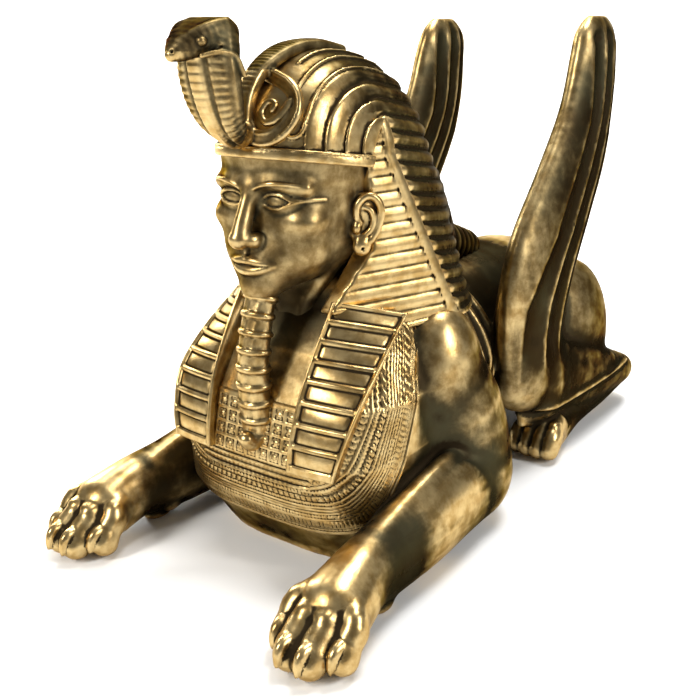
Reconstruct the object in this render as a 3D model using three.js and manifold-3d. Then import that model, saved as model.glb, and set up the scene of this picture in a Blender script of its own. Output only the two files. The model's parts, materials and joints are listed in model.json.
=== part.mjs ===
// A reclining sphinx cast in bronze as one piece, made to carry a table top on three points.
// The points are the top of the cobra's head and the tips of the two upswept wings.
// Every form below is one lump of the same casting, and the lumps are joined into one closed solid.
// Millimetres. While it is modelled, +X is the statue's left, +Y runs from the claws to the rump,
// +Z is up and z = 0 is the floor. At the end the solid is moved so that the origin is the middle
// of its footprint.

import * as THREE from 'three';
import { mergeVertices } from 'three/addons/utils/BufferGeometryUtils.js';
import Module from 'manifold-3d';

const wasm = await Module();
wasm.setup();

// driving dimensions
const TOP_HEIGHT = 480; // the three bearing points
const MIDDLE_X = -7; // middle of the footprint from the modelling origin
const MIDDLE_Y = 365.85;
const PAW_X = 136; // middle of a front paw from the centre plane
const RIGHT_PAW_BACK = 9; // the right foreleg lies this much further back
const RIGHT_PAW_OUT = 14; // and spreads this much further from the centre plane
const WING_X = 103; // middle of a wing tip from the centre plane
const RIGHT_WING_BACK = 14; // the right wing stands this much further back
const BAND_Z = 372; // lower edge of the brow band at the forehead
const HOOD_FLOOR_Z = 216; // where the headdress ends on the shoulders
const HOOD_TOP_Z = 456;
const DOME_Z = 370; // above this height the headdress closes over as a dome
const DOME_HALF_WIDTH = 77.8;
const DOME_FRONT_Y = 108;
const DOME_BACK = 136; // from the middle of the dome to the back
const NAPE_Z = 402; // below this height the cloth widens and runs back
const NAPE_Y = 196;
const FOLD_PITCH = 13; // height of one fold of the headdress
const FOLDS = 18;
const FOLD_DEPTH = 3;
const FOLD_DIP = 0.17; // the folds sink this much per millimetre towards the back
const CROWN_FOLDS = 4; // folds on each side that run down to the brow band
const HOOD_SIDES = 10; // facets round the back of the cloth
const FRONT_STEPS = 6; // facets from the brow band to the crown
const BAND_HEIGHT = 10;
const WING_LINE = { x: 0.464, y: 0.886 }; // a side wing runs back along this line, seen from above
const WING_INNER_Y = [[216, 150], [240, 152], [256, 165], [290, 190]]; // where it meets the head, by height
const QUEUE_RINGS = 6;
const LAPPET_BARS = 6; // sunk panels on each lappet
const LAPPET_SUNK = 3;
const LAPPET_OUT = { x: 0.45, y: -0.85, z: 0.28 }; // the way a lappet faces
const LAPPET_THICK = 22;
const COLLAR_RISE = 4;
const BEARD_RINGS = 7;
const BEARD_PITCH = 15.5;
const WING_SIDES = 20;
const FLUTE_DEPTH = 3.5; // lengthwise hollows on each face of a wing
const SHORT_EDGE = 2.2; // shorter edges that joining leaves are closed up

const SIDES = [1, -1]; // left, right
const point = (x, y, z) => new THREE.Vector3(x, y, z);
const UP = point(0, 0, 1);
const BACK = point(0, 1, 0);

// joining and cutting

function signedVolume(positions, index) {
  const corner = (i) => point().fromBufferAttribute(positions, index.getX(i));
  let sum = 0;
  for (let i = 0; i < index.count; i += 3) {
    sum += corner(i).dot(corner(i + 1).cross(corner(i + 2)));
  }
  return sum / 6;
}

// a closed geometry as a solid whose faces point out
function solidFrom(geometry) {
  geometry.deleteAttribute('normal');
  geometry.deleteAttribute('uv');
  const merged = mergeVertices(geometry, 1e-4);
  const triVerts = Uint32Array.from(merged.index.array);
  if (signedVolume(merged.attributes.position, merged.index) < 0) {
    triVerts.reverse();
  }
  const vertProperties = Float32Array.from(merged.attributes.position.array);
  return new wasm.Manifold(new wasm.Mesh({ numProp: 3, vertProperties, triVerts }));
}

const join = (solids) => solids.reduce((whole, solid) => whole.add(solid));

// lofts

// rings of points, closed at both ends by a tip
function loftThrough(rings, firstTip, lastTip) {
  const count = rings[0].length;
  const points = [...rings.flat(), firstTip, lastTip];
  const first = points.length - 2;
  const last = points.length - 1;
  const end = (rings.length - 1) * count;
  const faces = [];
  for (let i = 0; i < count; i += 1) {
    const j = (i + 1) % count;
    for (let base = 0; base < end; base += count) {
      faces.push(base + i, base + j, base + count + j);
      faces.push(base + i, base + count + j, base + count + i);
    }
    faces.push(first, j, i, last, end + i, end + j);
  }
  const geometry = new THREE.BufferGeometry();
  const numbers = points.flatMap((corner) => corner.toArray());
  geometry.setAttribute('position', new THREE.Float32BufferAttribute(numbers, 3));
  geometry.setIndex(faces);
  return solidFrom(geometry);
}

const power = (value, exponent) => Math.sign(value) * Math.abs(value) ** exponent;

// an oval of the given half sizes; squareness 2 is an ellipse, more is boxier
function oval(centre, across, upward, halfWidth, halfHeight, count, squareness = 2) {
  return Array.from({ length: count }, (_, i) => {
    const angle = (i / count) * 2 * Math.PI;
    return centre.clone()
      .addScaledVector(across, halfWidth * power(Math.cos(angle), 2 / squareness))
      .addScaledVector(upward, halfHeight * power(Math.sin(angle), 2 / squareness));
  });
}

// rows of numbers on a smooth line through the given rows, steps to a span
function smoothRows(rows, steps) {
  const at = (i) => rows[Math.min(Math.max(i, 0), rows.length - 1)];
  const smooth = [];
  for (let i = 0; i < rows.length - 1; i += 1) {
    for (let s = 0; s < steps; s += 1) {
      const t = s / steps;
      smooth.push(at(i).map((b, column) => {
        const a = i > 0 ? at(i - 1)[column] : 2 * b - at(1)[column];
        const c = at(i + 1)[column];
        const d = i + 2 < rows.length ? at(i + 2)[column] : 2 * c - b;
        return 0.5 * (2 * b + (c - a) * t + (2 * a - 5 * b + 4 * c - d) * t * t
          + (3 * b - a - 3 * c + d) * t ** 3);
      }));
    }
  }
  smooth.push(rows[rows.length - 1]);
  return smooth;
}

// A rounded limb. Each row is x, y, z, half width, half height of one section.
function limb(rows, { count = 12, steps = 2, up = UP, capAngles = [0.7] } = {}) {
  const smooth = smoothRows(rows, steps);
  const centres = smooth.map((row) => point(row[0], row[1], row[2]));
  const rings = smooth.map((row, i) => {
    const before = centres[Math.max(i - 1, 0)];
    const after = centres[Math.min(i + 1, centres.length - 1)];
    const along = after.clone().sub(before).normalize();
    const across = along.clone().cross(up).normalize();
    const upward = across.clone().cross(along);
    return { centre: centres[i], along, across, upward, halfWidth: row[3], halfHeight: row[4] };
  });
  const section = (ring, shift, scale) => oval(
    ring.centre.clone().addScaledVector(ring.along, shift),
    ring.across, ring.upward, ring.halfWidth * scale, ring.halfHeight * scale, count,
  );
  const capDepth = (ring) => Math.min(ring.halfWidth, ring.halfHeight);
  const cap = (ring, angle, sign) => (
    section(ring, sign * capDepth(ring) * Math.sin(angle), Math.cos(angle))
  );
  const start = rings[0];
  const end = rings[rings.length - 1];
  return loftThrough(
    [
      ...capAngles.toReversed().map((angle) => cap(start, angle, -1)),
      ...rings.map((ring) => section(ring, 0, 1)),
      ...capAngles.map((angle) => cap(end, angle, 1)),
    ],
    start.centre.clone().addScaledVector(start.along, -capDepth(start)),
    end.centre.clone().addScaledVector(end.along, capDepth(end)),
  );
}

function ball(x, y, z, halfX, halfY, halfZ, around = 14, rows = 9) {
  const geometry = new THREE.SphereGeometry(1, around, rows);
  geometry.rotateX(Math.PI / 2);
  geometry.scale(halfX, halfY, halfZ);
  geometry.translate(x, y, z);
  return solidFrom(geometry);
}

function block(fromX, toX, fromY, toY, fromZ, toZ) {
  const geometry = new THREE.BoxGeometry(toX - fromX, toY - fromY, toZ - fromZ);
  geometry.translate((fromX + toX) / 2, (fromY + toY) / 2, (fromZ + toZ) / 2);
  return solidFrom(geometry);
}

// the same rows on the other side of the centre plane, moved back by a shift
const onSide = (rows, side, shift = 0) => rows.map(([x, y, ...rest]) => [side * x, y + shift, ...rest]);

// value of a profile of [height, value] pairs at a height
function profileAt(profile, height) {
  const last = profile[profile.length - 1];
  if (height <= profile[0][0]) return profile[0][1];
  if (height >= last[0]) return last[1];
  const i = profile.findIndex(([level]) => level > height);
  const [lowLevel, low] = profile[i - 1];
  const [highLevel, high] = profile[i];
  return low + ((high - low) * (height - lowLevel)) / (highLevel - lowLevel);
}

// lion's body

const TRUNK = [
  [0, 215, 112, 90, 98],
  [0, 260, 114, 100, 108],
  [0, 330, 122, 96, 104],
  [0, 410, 134, 84, 95],
  [0, 490, 138, 80, 90],
  [0, 570, 134, 82, 92],
  [0, 640, 122, 76, 82],
  [0, 684, 108, 60, 60],
];

// the chest by height: [height, half width], [height, half depth], [height, middle]
const CHEST_WIDTH = [[-20, 72], [10, 98], [60, 115], [110, 117], [160, 114], [200, 98], [235, 78], [262, 62]];
const CHEST_DEPTH = [[-20, 54], [10, 68], [60, 97], [110, 101], [160, 97], [200, 84], [235, 68], [262, 54]];
const CHEST_MIDDLE = [[-20, 206], [60, 203], [110, 203], [160, 211], [200, 222], [235, 231], [262, 224]];
const CHEST_SQUARENESS = 3.6;
const CHEST_LEVELS = [-20, 10, 35, 60, 110, 160, 200, 235, 262];

// the chest, or a skin that stands off it by an offset
function chest(offset = 0, count = 24) {
  const rings = CHEST_LEVELS.map((height) => oval(
    point(0, profileAt(CHEST_MIDDLE, height), height), point(1, 0, 0), BACK,
    profileAt(CHEST_WIDTH, height) + offset, profileAt(CHEST_DEPTH, height) + offset,
    count, CHEST_SQUARENESS,
  ));
  return loftThrough(rings, point(0, 206, -20), point(0, 208, 272));
}

const UPPER_ARM = [
  [92, 258, 170, 40, 46],
  [106, 280, 120, 44, 50],
  [118, 292, 60, 40, 46],
  [120, 294, 44, 36, 48],
];

// elbow to toes, with the wrist arched off the floor
const FOREARM = [
  [120, 292, 44, 35, 48],
  [128, 235, 48, 33, 46],
  [132, 180, 46, 30, 45],
  [132, 122, 42, 26, 38],
  [134, 80, 42, 26, 31],
  [PAW_X, 44, 34, 33, 32],
];

const TOE_X = [-28, -9.5, 10, 28.5]; // from the middle of the paw
const TOE_Y = [8, -9, -9, 8];

function foreleg(side) {
  const shift = side < 0 ? RIGHT_PAW_BACK : 0;
  const spread = side < 0 ? RIGHT_PAW_OUT : 0;
  const forearm = FOREARM.map(([x, y, ...rest], i) => {
    const reach = i / (FOREARM.length - 1);
    return [x + spread * reach, y + shift * reach, ...rest];
  });
  const solids = [
    limb(onSide(UPPER_ARM, side), { up: BACK, count: 12, steps: 1 }),
    limb(onSide(forearm, side), { count: 12, steps: 1, capAngles: [0.5, 1.1] }),
    ball(side * (134 + spread * 0.8), 106 + shift / 2, 8, 13, 17, 14, 8, 6),
  ];
  TOE_X.forEach((out, i) => {
    const front = TOE_Y[i];
    const middle = PAW_X + spread;
    const toe = [
      [middle + out * 0.6, 50, 34, 16, 22],
      [middle + out, 24, 30, 14, 20],
      [middle + out, 6 + front, 14, 13, 21],
    ];
    solids.push(limb(onSide(toe, side, shift), { count: 6, steps: 1 }));
  });
  return join(solids);
}

const SHANK = [
  [104, 472, 84, 32, 50],
  [112, 540, 74, 28, 46],
  [118, 610, 58, 24, 34],
  [124, 668, 46, 18, 22],
  [124, 688, 42, 14, 17],
];

const HIND_FOOT = [
  [110, 690, 30, 17, 24],
  [104, 640, 25, 21, 28],
  [104, 560, 24, 23, 27],
  [112, 478, 24, 27, 27],
];

const HIND_TOE_X = [94, 107, 120, 133];

function hindLeg(side) {
  const solids = [
    ball(side * 82, 578, 108, 50, 84, 97, 14, 9),
    limb(onSide(SHANK, side), { count: 10, steps: 1 }),
    limb(onSide(HIND_FOOT, side), { count: 10, steps: 1 }),
  ];
  HIND_TOE_X.forEach((x, i) => {
    const front = i % 3 === 0 ? 449 : 446;
    const toe = [
      [x * 0.6 + 45.6, 482, 28, 13, 18],
      [x, 456, 24, 12, 16],
      [x, front, 13, 11, 16],
    ];
    solids.push(limb(onSide(toe, side), { count: 5, steps: 1 }));
  });
  return join(solids);
}

// The tail lies round the right haunch, out of the front view, and ends in a tuft.
const TAIL = [
  [0, 728, 60, 12, 12],
  [-46, 738, 24, 11, 11],
  [-108, 726, 12, 10, 10],
  [-146, 670, 10, 9.5, 10],
  [-158, 590, 10, 9, 9.5],
  [-156, 530, 11, 10, 11],
  [-152, 494, 12, 14, 14],
  [-146, 462, 10, 8, 8],
];

// Wings, from the flank up to the tip. Half width is the thickness, half height the chord.
const WING = [
  [101, 450, 92, 30, 56],
  [103, 447, 150, 28, 68],
  [105, 453, 205, 27, 70],
  [106, 480, 262, 25, 74],
  [106, 528, 325, 22, 66],
  [104, 563, 385, 20, 55],
  [WING_X, 575, 440, 19, 49],
  [WING_X - 1, 577, 466, 16, 41],
];

function wing(side) {
  const rows = WING.map(([x, y, z, ...rest]) => {
    const lean = side < 0 ? RIGHT_WING_BACK * Math.min(Math.max((z - 262) / 80, 0), 1) : 0;
    return [side * x, y + lean, z, ...rest];
  });
  const smooth = smoothRows(rows, 1);
  const rings = smooth.map(([x, y, z, halfWidth, halfHeight], i) => {
    const before = smooth[Math.max(i - 1, 0)];
    const after = smooth[Math.min(i + 1, smooth.length - 1)];
    const along = point(after[0] - before[0], after[1] - before[1], after[2] - before[2]).normalize();
    const across = along.clone().cross(BACK).normalize();
    const chord = across.clone().cross(along);
    return oval(point(x, y, z), across, chord, halfWidth, halfHeight, WING_SIDES).map((corner, k) => {
      const angle = (k / WING_SIDES) * 2 * Math.PI;
      const reach = Math.sin(angle); // -1 at the leading edge, 1 at the trailing edge
      const onFace = Math.abs(Math.cos(angle)) > 0.2 ? 1 : 0;
      const hollow = FLUTE_DEPTH * THREE.MathUtils.smoothstep(reach, -0.75, -0.4) * onFace * (k % 2);
      return corner.addScaledVector(across, -hollow * Math.sign(Math.cos(angle)));
    });
  });
  const tip = point(...smooth[smooth.length - 1].slice(0, 3));
  const shoulder = rings[rings.length - 1].map((corner) => (
    corner.clone().lerp(tip, 0.3).add(point(0, 0, 12))
  ));
  const root = point(side * WING[0][0], WING[0][1], 60);
  return loftThrough([...rings, shoulder], root, tip.clone().add(point(0, 0, 17)));
}

// headdress

const HOOD_BACK = [[215, 108], [268, 124], [307, 133], [359, 136], [DOME_Z, DOME_BACK]];

// Sections of the headdress cloth by height: half width, middle, reach to the back and to the front.
function hoodSection(height) {
  const drop = NAPE_Z - height;
  const rise = Math.max(height - DOME_Z, 0) / (HOOD_TOP_Z - DOME_Z);
  const dome = Math.sqrt(Math.max(1 - rise ** 2, 1e-4));
  const middle = NAPE_Y + 0.362 * Math.max(drop, 0);
  const inDome = height > DOME_Z;
  return {
    middle,
    halfWidth: inDome ? DOME_HALF_WIDTH * dome : 70 + 0.243 * drop,
    back: inDome ? DOME_BACK * dome : profileAt(HOOD_BACK, height),
    front: (middle - DOME_FRONT_Y) * dome,
  };
}

// below 1 inside the cloth, 1 on its surface
function hoodLevel({ x, y, z }) {
  if (z > HOOD_TOP_Z) return 2;
  const { halfWidth, middle, back, front } = hoodSection(z);
  const reach = y > middle ? back : front;
  return Math.hypot(x / halfWidth, (y - middle) / reach);
}

// how far the cloth is from a point inside it, looking in one direction
function hoodReach(from, direction) {
  let near = 0;
  let far = 260;
  for (let i = 0; i < 24; i += 1) {
    const middle = (near + far) / 2;
    if (hoodLevel(from.clone().addScaledVector(direction, middle)) < 1) near = middle;
    else far = middle;
  }
  return near;
}

const hoodPoint = (from, direction, sunk = 0) => from.clone()
  .addScaledVector(direction, hoodReach(from, direction) - sunk);

// One ring of the cloth round the back of the head, dipping to the back by FOLD_DIP. It closes
// across the head along the flat front of each side wing.
function hoodRing(level, sunk) {
  const middle = hoodSection(level).middle;
  const from = point(0, middle, level - FOLD_DIP * (middle - 200));
  const backArc = Array.from({ length: HOOD_SIDES + 1 }, (_, i) => {
    const angle = (i / HOOD_SIDES - 0.5) * Math.PI;
    const direction = point(Math.sin(angle), Math.cos(angle), -FOLD_DIP * Math.cos(angle));
    return hoodPoint(from, direction, sunk);
  });
  const rim = backArc[HOOD_SIDES];
  const innerY = Math.min(profileAt(WING_INNER_Y, level), middle - 4);
  const run = (rim.y - innerY) / WING_LINE.y;
  const inner = [
    point(Math.max(rim.x - WING_LINE.x * run - sunk / 2, 40), innerY, rim.z),
    point(36, innerY, rim.z),
  ];
  return [
    ...backArc,
    ...inner,
    ...inner.toReversed().map(({ x, y, z }) => point(-x, y, z)),
  ];
}

// Each fold is one saw tooth: a groove, then a slow swell, then a sharp drop to the next groove.
function hoodBack() {
  const rings = [];
  for (let fold = 0; fold < FOLDS; fold += 1) {
    const level = HOOD_FLOOR_Z + fold * FOLD_PITCH;
    rings.push(hoodRing(level, FOLD_DEPTH), hoodRing(level + FOLD_PITCH * 0.55, 0));
  }
  rings.push(hoodRing(HOOD_TOP_Z - 2, 0));
  return loftThrough(rings, point(0, 230, HOOD_FLOOR_Z - 1), point(0, 210, HOOD_TOP_Z - 1));
}

// The forehead of the cloth: the same folds run forward over the crown and down to the band.
function hoodFront() {
  const lines = [];
  for (let fold = 1; fold <= CROWN_FOLDS; fold += 1) {
    const rise = (HOOD_TOP_Z - fold * FOLD_PITCH - DOME_Z) / (HOOD_TOP_Z - DOME_Z);
    const x = DOME_HALF_WIDTH * Math.sqrt(1 - rise ** 2);
    lines.push([x, FOLD_DEPTH], [x + 3, 0]);
  }
  lines.push([75.5, 1]);
  const across = [...lines.toReversed().map(([x, sunk]) => [-x, sunk]), [-14, 0], [14, 0], ...lines];
  const rings = across.map(([x, sunk]) => {
    const from = point(x, 200, BAND_Z - 4);
    const arc = Array.from({ length: FRONT_STEPS + 1 }, (_, i) => {
      const angle = (i / FRONT_STEPS) * THREE.MathUtils.degToRad(100);
      return hoodPoint(from, point(0, -Math.cos(angle), Math.sin(angle)), sunk);
    });
    return [...arc, from.clone().add(point(0, 8, 0)), from.clone().add(point(0, -8, -4))];
  });
  return loftThrough(rings, point(-77, 196, BAND_Z), point(77, 196, BAND_Z));
}

// the brow band, proud of the cloth, sinking a little towards the ears
function browBand() {
  const ring = (angle) => {
    const direction = point(Math.sin(angle), -Math.cos(angle), 0);
    const edge = hoodPoint(point(0, 200, BAND_Z), direction);
    const drop = 0.15 * (edge.y - DOME_FRONT_Y);
    return [[-10, 0], [3, 0], [3, BAND_HEIGHT], [-10, BAND_HEIGHT]].map(([out, up]) => (
      edge.clone().addScaledVector(direction, out).add(point(0, 0, up - drop))
    ));
  };
  const end = THREE.MathUtils.degToRad(88);
  const rings = Array.from({ length: 15 }, (_, i) => ring((i / 7 - 1) * end));
  const tip = (corners) => corners[0].clone().lerp(corners[2], 0.5);
  return loftThrough(rings, tip(rings[0]), tip(rings[14]));
}

// the queue: the cloth gathered on the back and bound with cord
function queue() {
  const rows = [[0, 320, 296, 58, 62], [0, 372, 262, 40, 40]];
  for (let turn = 0; turn < QUEUE_RINGS; turn += 1) {
    const y = 404 + turn * 14;
    const z = 246 - turn * 3;
    const half = 27 - turn * 1.6;
    rows.push([0, y, z, half - 3, half - 3], [0, y + 7, z - 1.5, half, half]);
  }
  return limb(rows, { count: 8, steps: 1 });
}

// head

function head() {
  const solids = [
    ball(0, 192, 345, 64, 80, 90, 12, 7),
    ball(0, 166, 309, 57, 58, 63, 14, 9),
    ball(0, 134, 266, 27, 25, 19, 8, 6),
    limb([[0, 204, 225, 50, 50], [0, 192, 300, 44, 46]], { up: BACK, count: 10, steps: 1 }),
    limb([[0, 114, 344, 5, 8], [0, 103, 328, 7, 9], [0, 96, 313, 10, 8]], { up: BACK, count: 6, steps: 1 }),
    limb([[-17, 114, 288, 3, 3], [0, 106, 290, 3.5, 3.5], [17, 114, 288, 3, 3]], { count: 5, steps: 1 }),
    limb([[-14, 114, 281, 3.5, 3.5], [0, 107, 280, 4.5, 4.5], [14, 114, 281, 3.5, 3.5]], { count: 5, steps: 1 }),
  ];
  SIDES.forEach((side) => {
    const brow = [[8, 116, 354, 4, 3], [28, 119, 359, 4, 3], [50, 136, 351, 4, 2.5]];
    const earRim = [
      [66, 178, 296, 5, 6], [70, 180, 322, 4, 5], [76, 194, 334, 4, 5],
      [77, 202, 316, 4, 5], [70, 188, 290, 5, 7],
    ];
    solids.push(
      limb(onSide(brow, side), { count: 5, steps: 1 }),
      ball(side * 26, 120, 342, 14, 8, 7, 8, 4),
      ball(side * 66, 190, 310, 7, 13, 20, 6, 5),
      limb(onSide(earRim, side), { up: point(1, 0, 0), count: 5, steps: 1 }),
    );
  });
  return join(solids);
}

// The false beard: a bound plait that lies on the chest and curls forward at its end.
function beard() {
  const rows = [[0, 124, 250, 17, 15]];
  for (let turn = 0; turn < BEARD_RINGS; turn += 1) {
    const z = 238 - turn * BEARD_PITCH;
    const y = 119 - 7 * Math.sin((turn / BEARD_RINGS) * Math.PI) - turn;
    rows.push([0, y, z, 14.5, 12], [0, y, z - BEARD_PITCH * 0.75, 16.5, 14]);
  }
  rows.push([0, 108, 128, 13, 11], [0, 98, 122, 9, 8]);
  return limb(rows, { up: BACK, count: 8, steps: 1 });
}

// The rearing cobra on the brow, with a loop of its body to each side and the rest along the crown.
const COBRA_NECK = [
  [0, 112, 392, 16, 12],
  [0, 94, 393, 17, 9],
  [0, 81, 404, 24, 9],
  [0, 75, 418, 28, 10],
  [0, 70, 434, 27, 11],
  [0, 67, 450, 22, 12],
  [0, 66, 464, 17, 13],
];
const COBRA_HEAD = [
  [0, 84, 466, 14, 13],
  [0, 66, 467, 18, 17],
  [0, 50, 463, 14, 12],
  [0, 39, 460, 8, 7],
];
const COBRA_BACK = [
  [0, 112, 418, 9, 7],
  [0, 124, 440, 11, 8],
  [0, 156, 453, 12, 8],
  [0, 196, 456, 12, 8],
  [0, 232, 450, 12, 7],
];

function cobra() {
  const loops = SIDES.map((side) => {
    const geometry = new THREE.TorusGeometry(13, 5, 5, 9);
    geometry.rotateX(Math.PI / 2);
    geometry.rotateZ(side * 0.35);
    geometry.translate(side * 22, 112, 404);
    return solidFrom(geometry);
  });
  return join([
    limb(COBRA_NECK, { up: BACK, count: 9, steps: 1 }),
    limb(COBRA_HEAD, { count: 8, steps: 1 }),
    limb(COBRA_BACK, { count: 6, steps: 1, capAngles: [] }),
    ...loops,
  ]);
}

// collar and lappets

// The collar seen from the side: [from the claws, height] of its lower edge and of the inner edge
// of its border.
const COLLAR_EDGE = [[80, 38], [128, 46], [153, 66], [187, 120], [215, 170], [244, 214]];
const BORDER_EDGE = [[80, 74], [112, 80], [130, 100], [154, 146], [178, 196], [204, 240]];

// everything above such an edge, as a post lying across the statue
function aboveEdge(edge) {
  const shape = new THREE.Shape([...edge, [244, 290], [60, 290]].map(([y, z]) => new THREE.Vector2(y, z)));
  const geometry = new THREE.ExtrudeGeometry(shape, { depth: 280, bevelEnabled: false });
  geometry.rotateX(Math.PI / 2);
  geometry.rotateZ(Math.PI / 2);
  geometry.translate(-140, 0, 0);
  return solidFrom(geometry);
}

// the raised border of the collar
function collar() {
  return chest(COLLAR_RISE).intersect(aboveEdge(COLLAR_EDGE).subtract(aboveEdge(BORDER_EDGE)));
}

// Edges of a lappet from its lower end up, nearest the beard and furthest from it.
const LAPPET_INNER = [[47, 98, 107], [49, 101, 130], [52, 112, 168], [56, 133, 205], [60, 156, 238]];
const LAPPET_OUTER = [[92, 103, 107], [97, 107, 130], [103, 124, 165], [102, 160, 195], [94, 208, 216]];

function lappet(side) {
  const inner = smoothRows(LAPPET_INNER, 12);
  const outer = smoothRows(LAPPET_OUTER, 12);
  const last = inner.length - 1;
  const ring = (t, sunk) => {
    const row = Math.round(t * last);
    const a = point(...inner[row]);
    const b = point(...outer[row]);
    const outward = point(LAPPET_OUT.x, LAPPET_OUT.y, LAPPET_OUT.z);
    const at = (s, out) => a.clone().lerp(b, s).addScaledVector(outward, out + 12 * s * (1 - s));
    return [
      at(0, 0), at(0.07, 3), at(0.13, 3 - sunk), at(0.87, 3 - sunk),
      at(0.93, 3), at(1, 0), at(0.9, -LAPPET_THICK), at(0.1, -LAPPET_THICK),
    ].map(({ x, y, z }) => point(side * x, y, z));
  };
  const rings = [ring(0, 0)];
  for (let bar = 0; bar < LAPPET_BARS; bar += 1) {
    const start = 0.04 + bar * 0.15;
    rings.push(ring(start, 0), ring(start + 0.04, LAPPET_SUNK), ring(start + 0.1, LAPPET_SUNK));
  }
  rings.push(ring(1, 0));
  const tip = (corners) => corners[3].clone().lerp(corners[7], 0.5);
  return loftThrough(rings, tip(rings[0]), tip(rings[rings.length - 1]));
}

// Joining leaves slivers along every seam. A short edge is closed up to one point where the
// surface stays closed and no face turns over. Points on the floor and on the bearing flats stay.
function closeShortEdges(points, faces, limit) {
  const around = points.map(() => new Set());
  faces.forEach((face, f) => face.forEach((corner) => around[corner].add(f)));
  const neighbours = (corner) => new Set([...around[corner]].flatMap((f) => faces[f]));
  const normal = ([a, b, c]) => b.clone().sub(a).cross(c.clone().sub(a));
  const level = ({ z }) => z < 1e-3 || z > TOP_HEIGHT - 1e-3;
  const turnsOver = (corner, other, target) => [...around[corner]]
    .filter((f) => !faces[f].includes(other))
    .some((f) => {
      const before = normal(faces[f].map((i) => points[i]));
      const after = normal(faces[f].map((i) => (i === corner ? target : points[i])));
      return before.dot(after) < 0.5 * before.length() * after.length() || after.length() < 0.05;
    });
  const close = (kept, gone) => {
    if (points[kept].distanceTo(points[gone]) > limit) return false;
    if (level(points[gone])) return false;
    const shared = [...neighbours(kept)].filter((i) => i !== kept && i !== gone && neighbours(gone).has(i));
    if (shared.length !== 2) return false;
    if (turnsOver(gone, kept, points[kept])) return false;
    [...around[gone]].forEach((f) => {
      if (faces[f].includes(kept)) {
        faces[f].forEach((corner) => around[corner].delete(f));
        faces[f] = [];
      } else {
        faces[f] = faces[f].map((corner) => (corner === gone ? kept : corner));
        around[kept].add(f);
      }
    });
    around[gone].clear();
    return true;
  };
  let closed = 1;
  while (closed > 0) {
    closed = 0;
    for (let f = 0; f < faces.length; f += 1) {
      for (let k = 0; k < 3 && faces[f].length === 3; k += 1) {
        const [a, b] = [faces[f][k], faces[f][(k + 1) % 3]];
        if (close(a, b) || close(b, a)) closed += 1;
      }
    }
  }
  return faces.filter((face) => face.length === 3);
}

const lumps = [
  limb(TRUNK, { count: 14, steps: 1 }),
  chest(),
  limb(TAIL, { count: 7, steps: 1 }),
  hoodBack(),
  hoodFront(),
  browBand(),
  queue(),
  head(),
  beard(),
  cobra(),
  collar(),
  ...SIDES.flatMap((side) => [foreleg(side), hindLeg(side), wing(side), lappet(side)]),
];

const below = block(-400, 400, -200, 1000, -200, 0);
const above = block(-400, 400, -200, 1000, TOP_HEIGHT, TOP_HEIGHT + 200);
const casting = join(lumps).subtract(below).subtract(above);

const mesh = casting.getMesh();
const corners = [];
for (let i = 0; i < mesh.vertProperties.length; i += 3) {
  corners.push(point(...mesh.vertProperties.slice(i, i + 3)));
}
const triangles = [];
for (let i = 0; i < mesh.triVerts.length; i += 3) {
  triangles.push([...mesh.triVerts.slice(i, i + 3)]);
}
const kept = closeShortEdges(corners, triangles, SHORT_EDGE);

const geometry = new THREE.BufferGeometry();
geometry.setAttribute('position', new THREE.Float32BufferAttribute(corners.flatMap((c) => c.toArray()), 3));
geometry.setIndex(kept.flat());
geometry.translate(-MIDDLE_X, -MIDDLE_Y, 0);

const bronze = new THREE.MeshStandardMaterial({ color: 0x9a7b3f, roughness: 0.35, metalness: 1 });
const sphinx = new THREE.Mesh(geometry, bronze);
sphinx.name = 'sphinx';

const group = new THREE.Group();
group.add(sphinx);
export default group;
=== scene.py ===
# %% [markdown]
# # A bronze sphinx that carries a table top
#
# A sphinx is a lion's body with a human head. This one lies on its belly with its forelegs stretched
# out and wears the dress of a pharaoh: a pleated headdress, a rearing cobra on the brow, a bound false
# beard and a broad collar. Two wings sweep up from its flanks. The cobra's head and the two wing tips
# stop at one height, because a sheet of glass rests on them.
#
# The real thing is a hollow bronze casting. The founder models it in clay and wax, casts it in one
# pour, chases the details with small chisels, and colours the metal with acids. High places are then
# rubbed bright and the dark patina stays in the hollows. This scene follows the same order: soft forms
# first, then the chased relief, then the patina, with painted shade added in the broad hollows between
# the limbs and under the head and body.

# %% the imported model
import json
import math

import bpy
import mathutils
import numpy as np
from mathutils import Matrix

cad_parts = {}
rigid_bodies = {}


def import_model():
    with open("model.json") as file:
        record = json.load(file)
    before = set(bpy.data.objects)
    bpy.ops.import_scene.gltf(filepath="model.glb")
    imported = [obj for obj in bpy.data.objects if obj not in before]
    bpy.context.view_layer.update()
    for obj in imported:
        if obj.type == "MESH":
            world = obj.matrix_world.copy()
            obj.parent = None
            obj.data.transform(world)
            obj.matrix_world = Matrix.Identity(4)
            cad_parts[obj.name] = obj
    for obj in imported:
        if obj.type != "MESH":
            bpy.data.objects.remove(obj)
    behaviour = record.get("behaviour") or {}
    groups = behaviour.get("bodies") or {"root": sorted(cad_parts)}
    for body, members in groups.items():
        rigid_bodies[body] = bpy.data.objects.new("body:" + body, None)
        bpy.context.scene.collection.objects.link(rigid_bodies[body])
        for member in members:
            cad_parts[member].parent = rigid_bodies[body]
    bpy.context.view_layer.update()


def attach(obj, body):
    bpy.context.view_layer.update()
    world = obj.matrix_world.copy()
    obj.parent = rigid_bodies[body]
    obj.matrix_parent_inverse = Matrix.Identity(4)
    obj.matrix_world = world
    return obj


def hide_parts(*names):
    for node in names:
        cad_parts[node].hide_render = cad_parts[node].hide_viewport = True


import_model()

# %% [markdown]
# ## Measures
#
# Everything is modelled in millimetres from the tips of the claws: +X is the statue's left, +Y runs
# back from the claws and +Z is up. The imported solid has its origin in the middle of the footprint, so
# each finished mesh is moved there by one shift and brought to metres.

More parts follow.
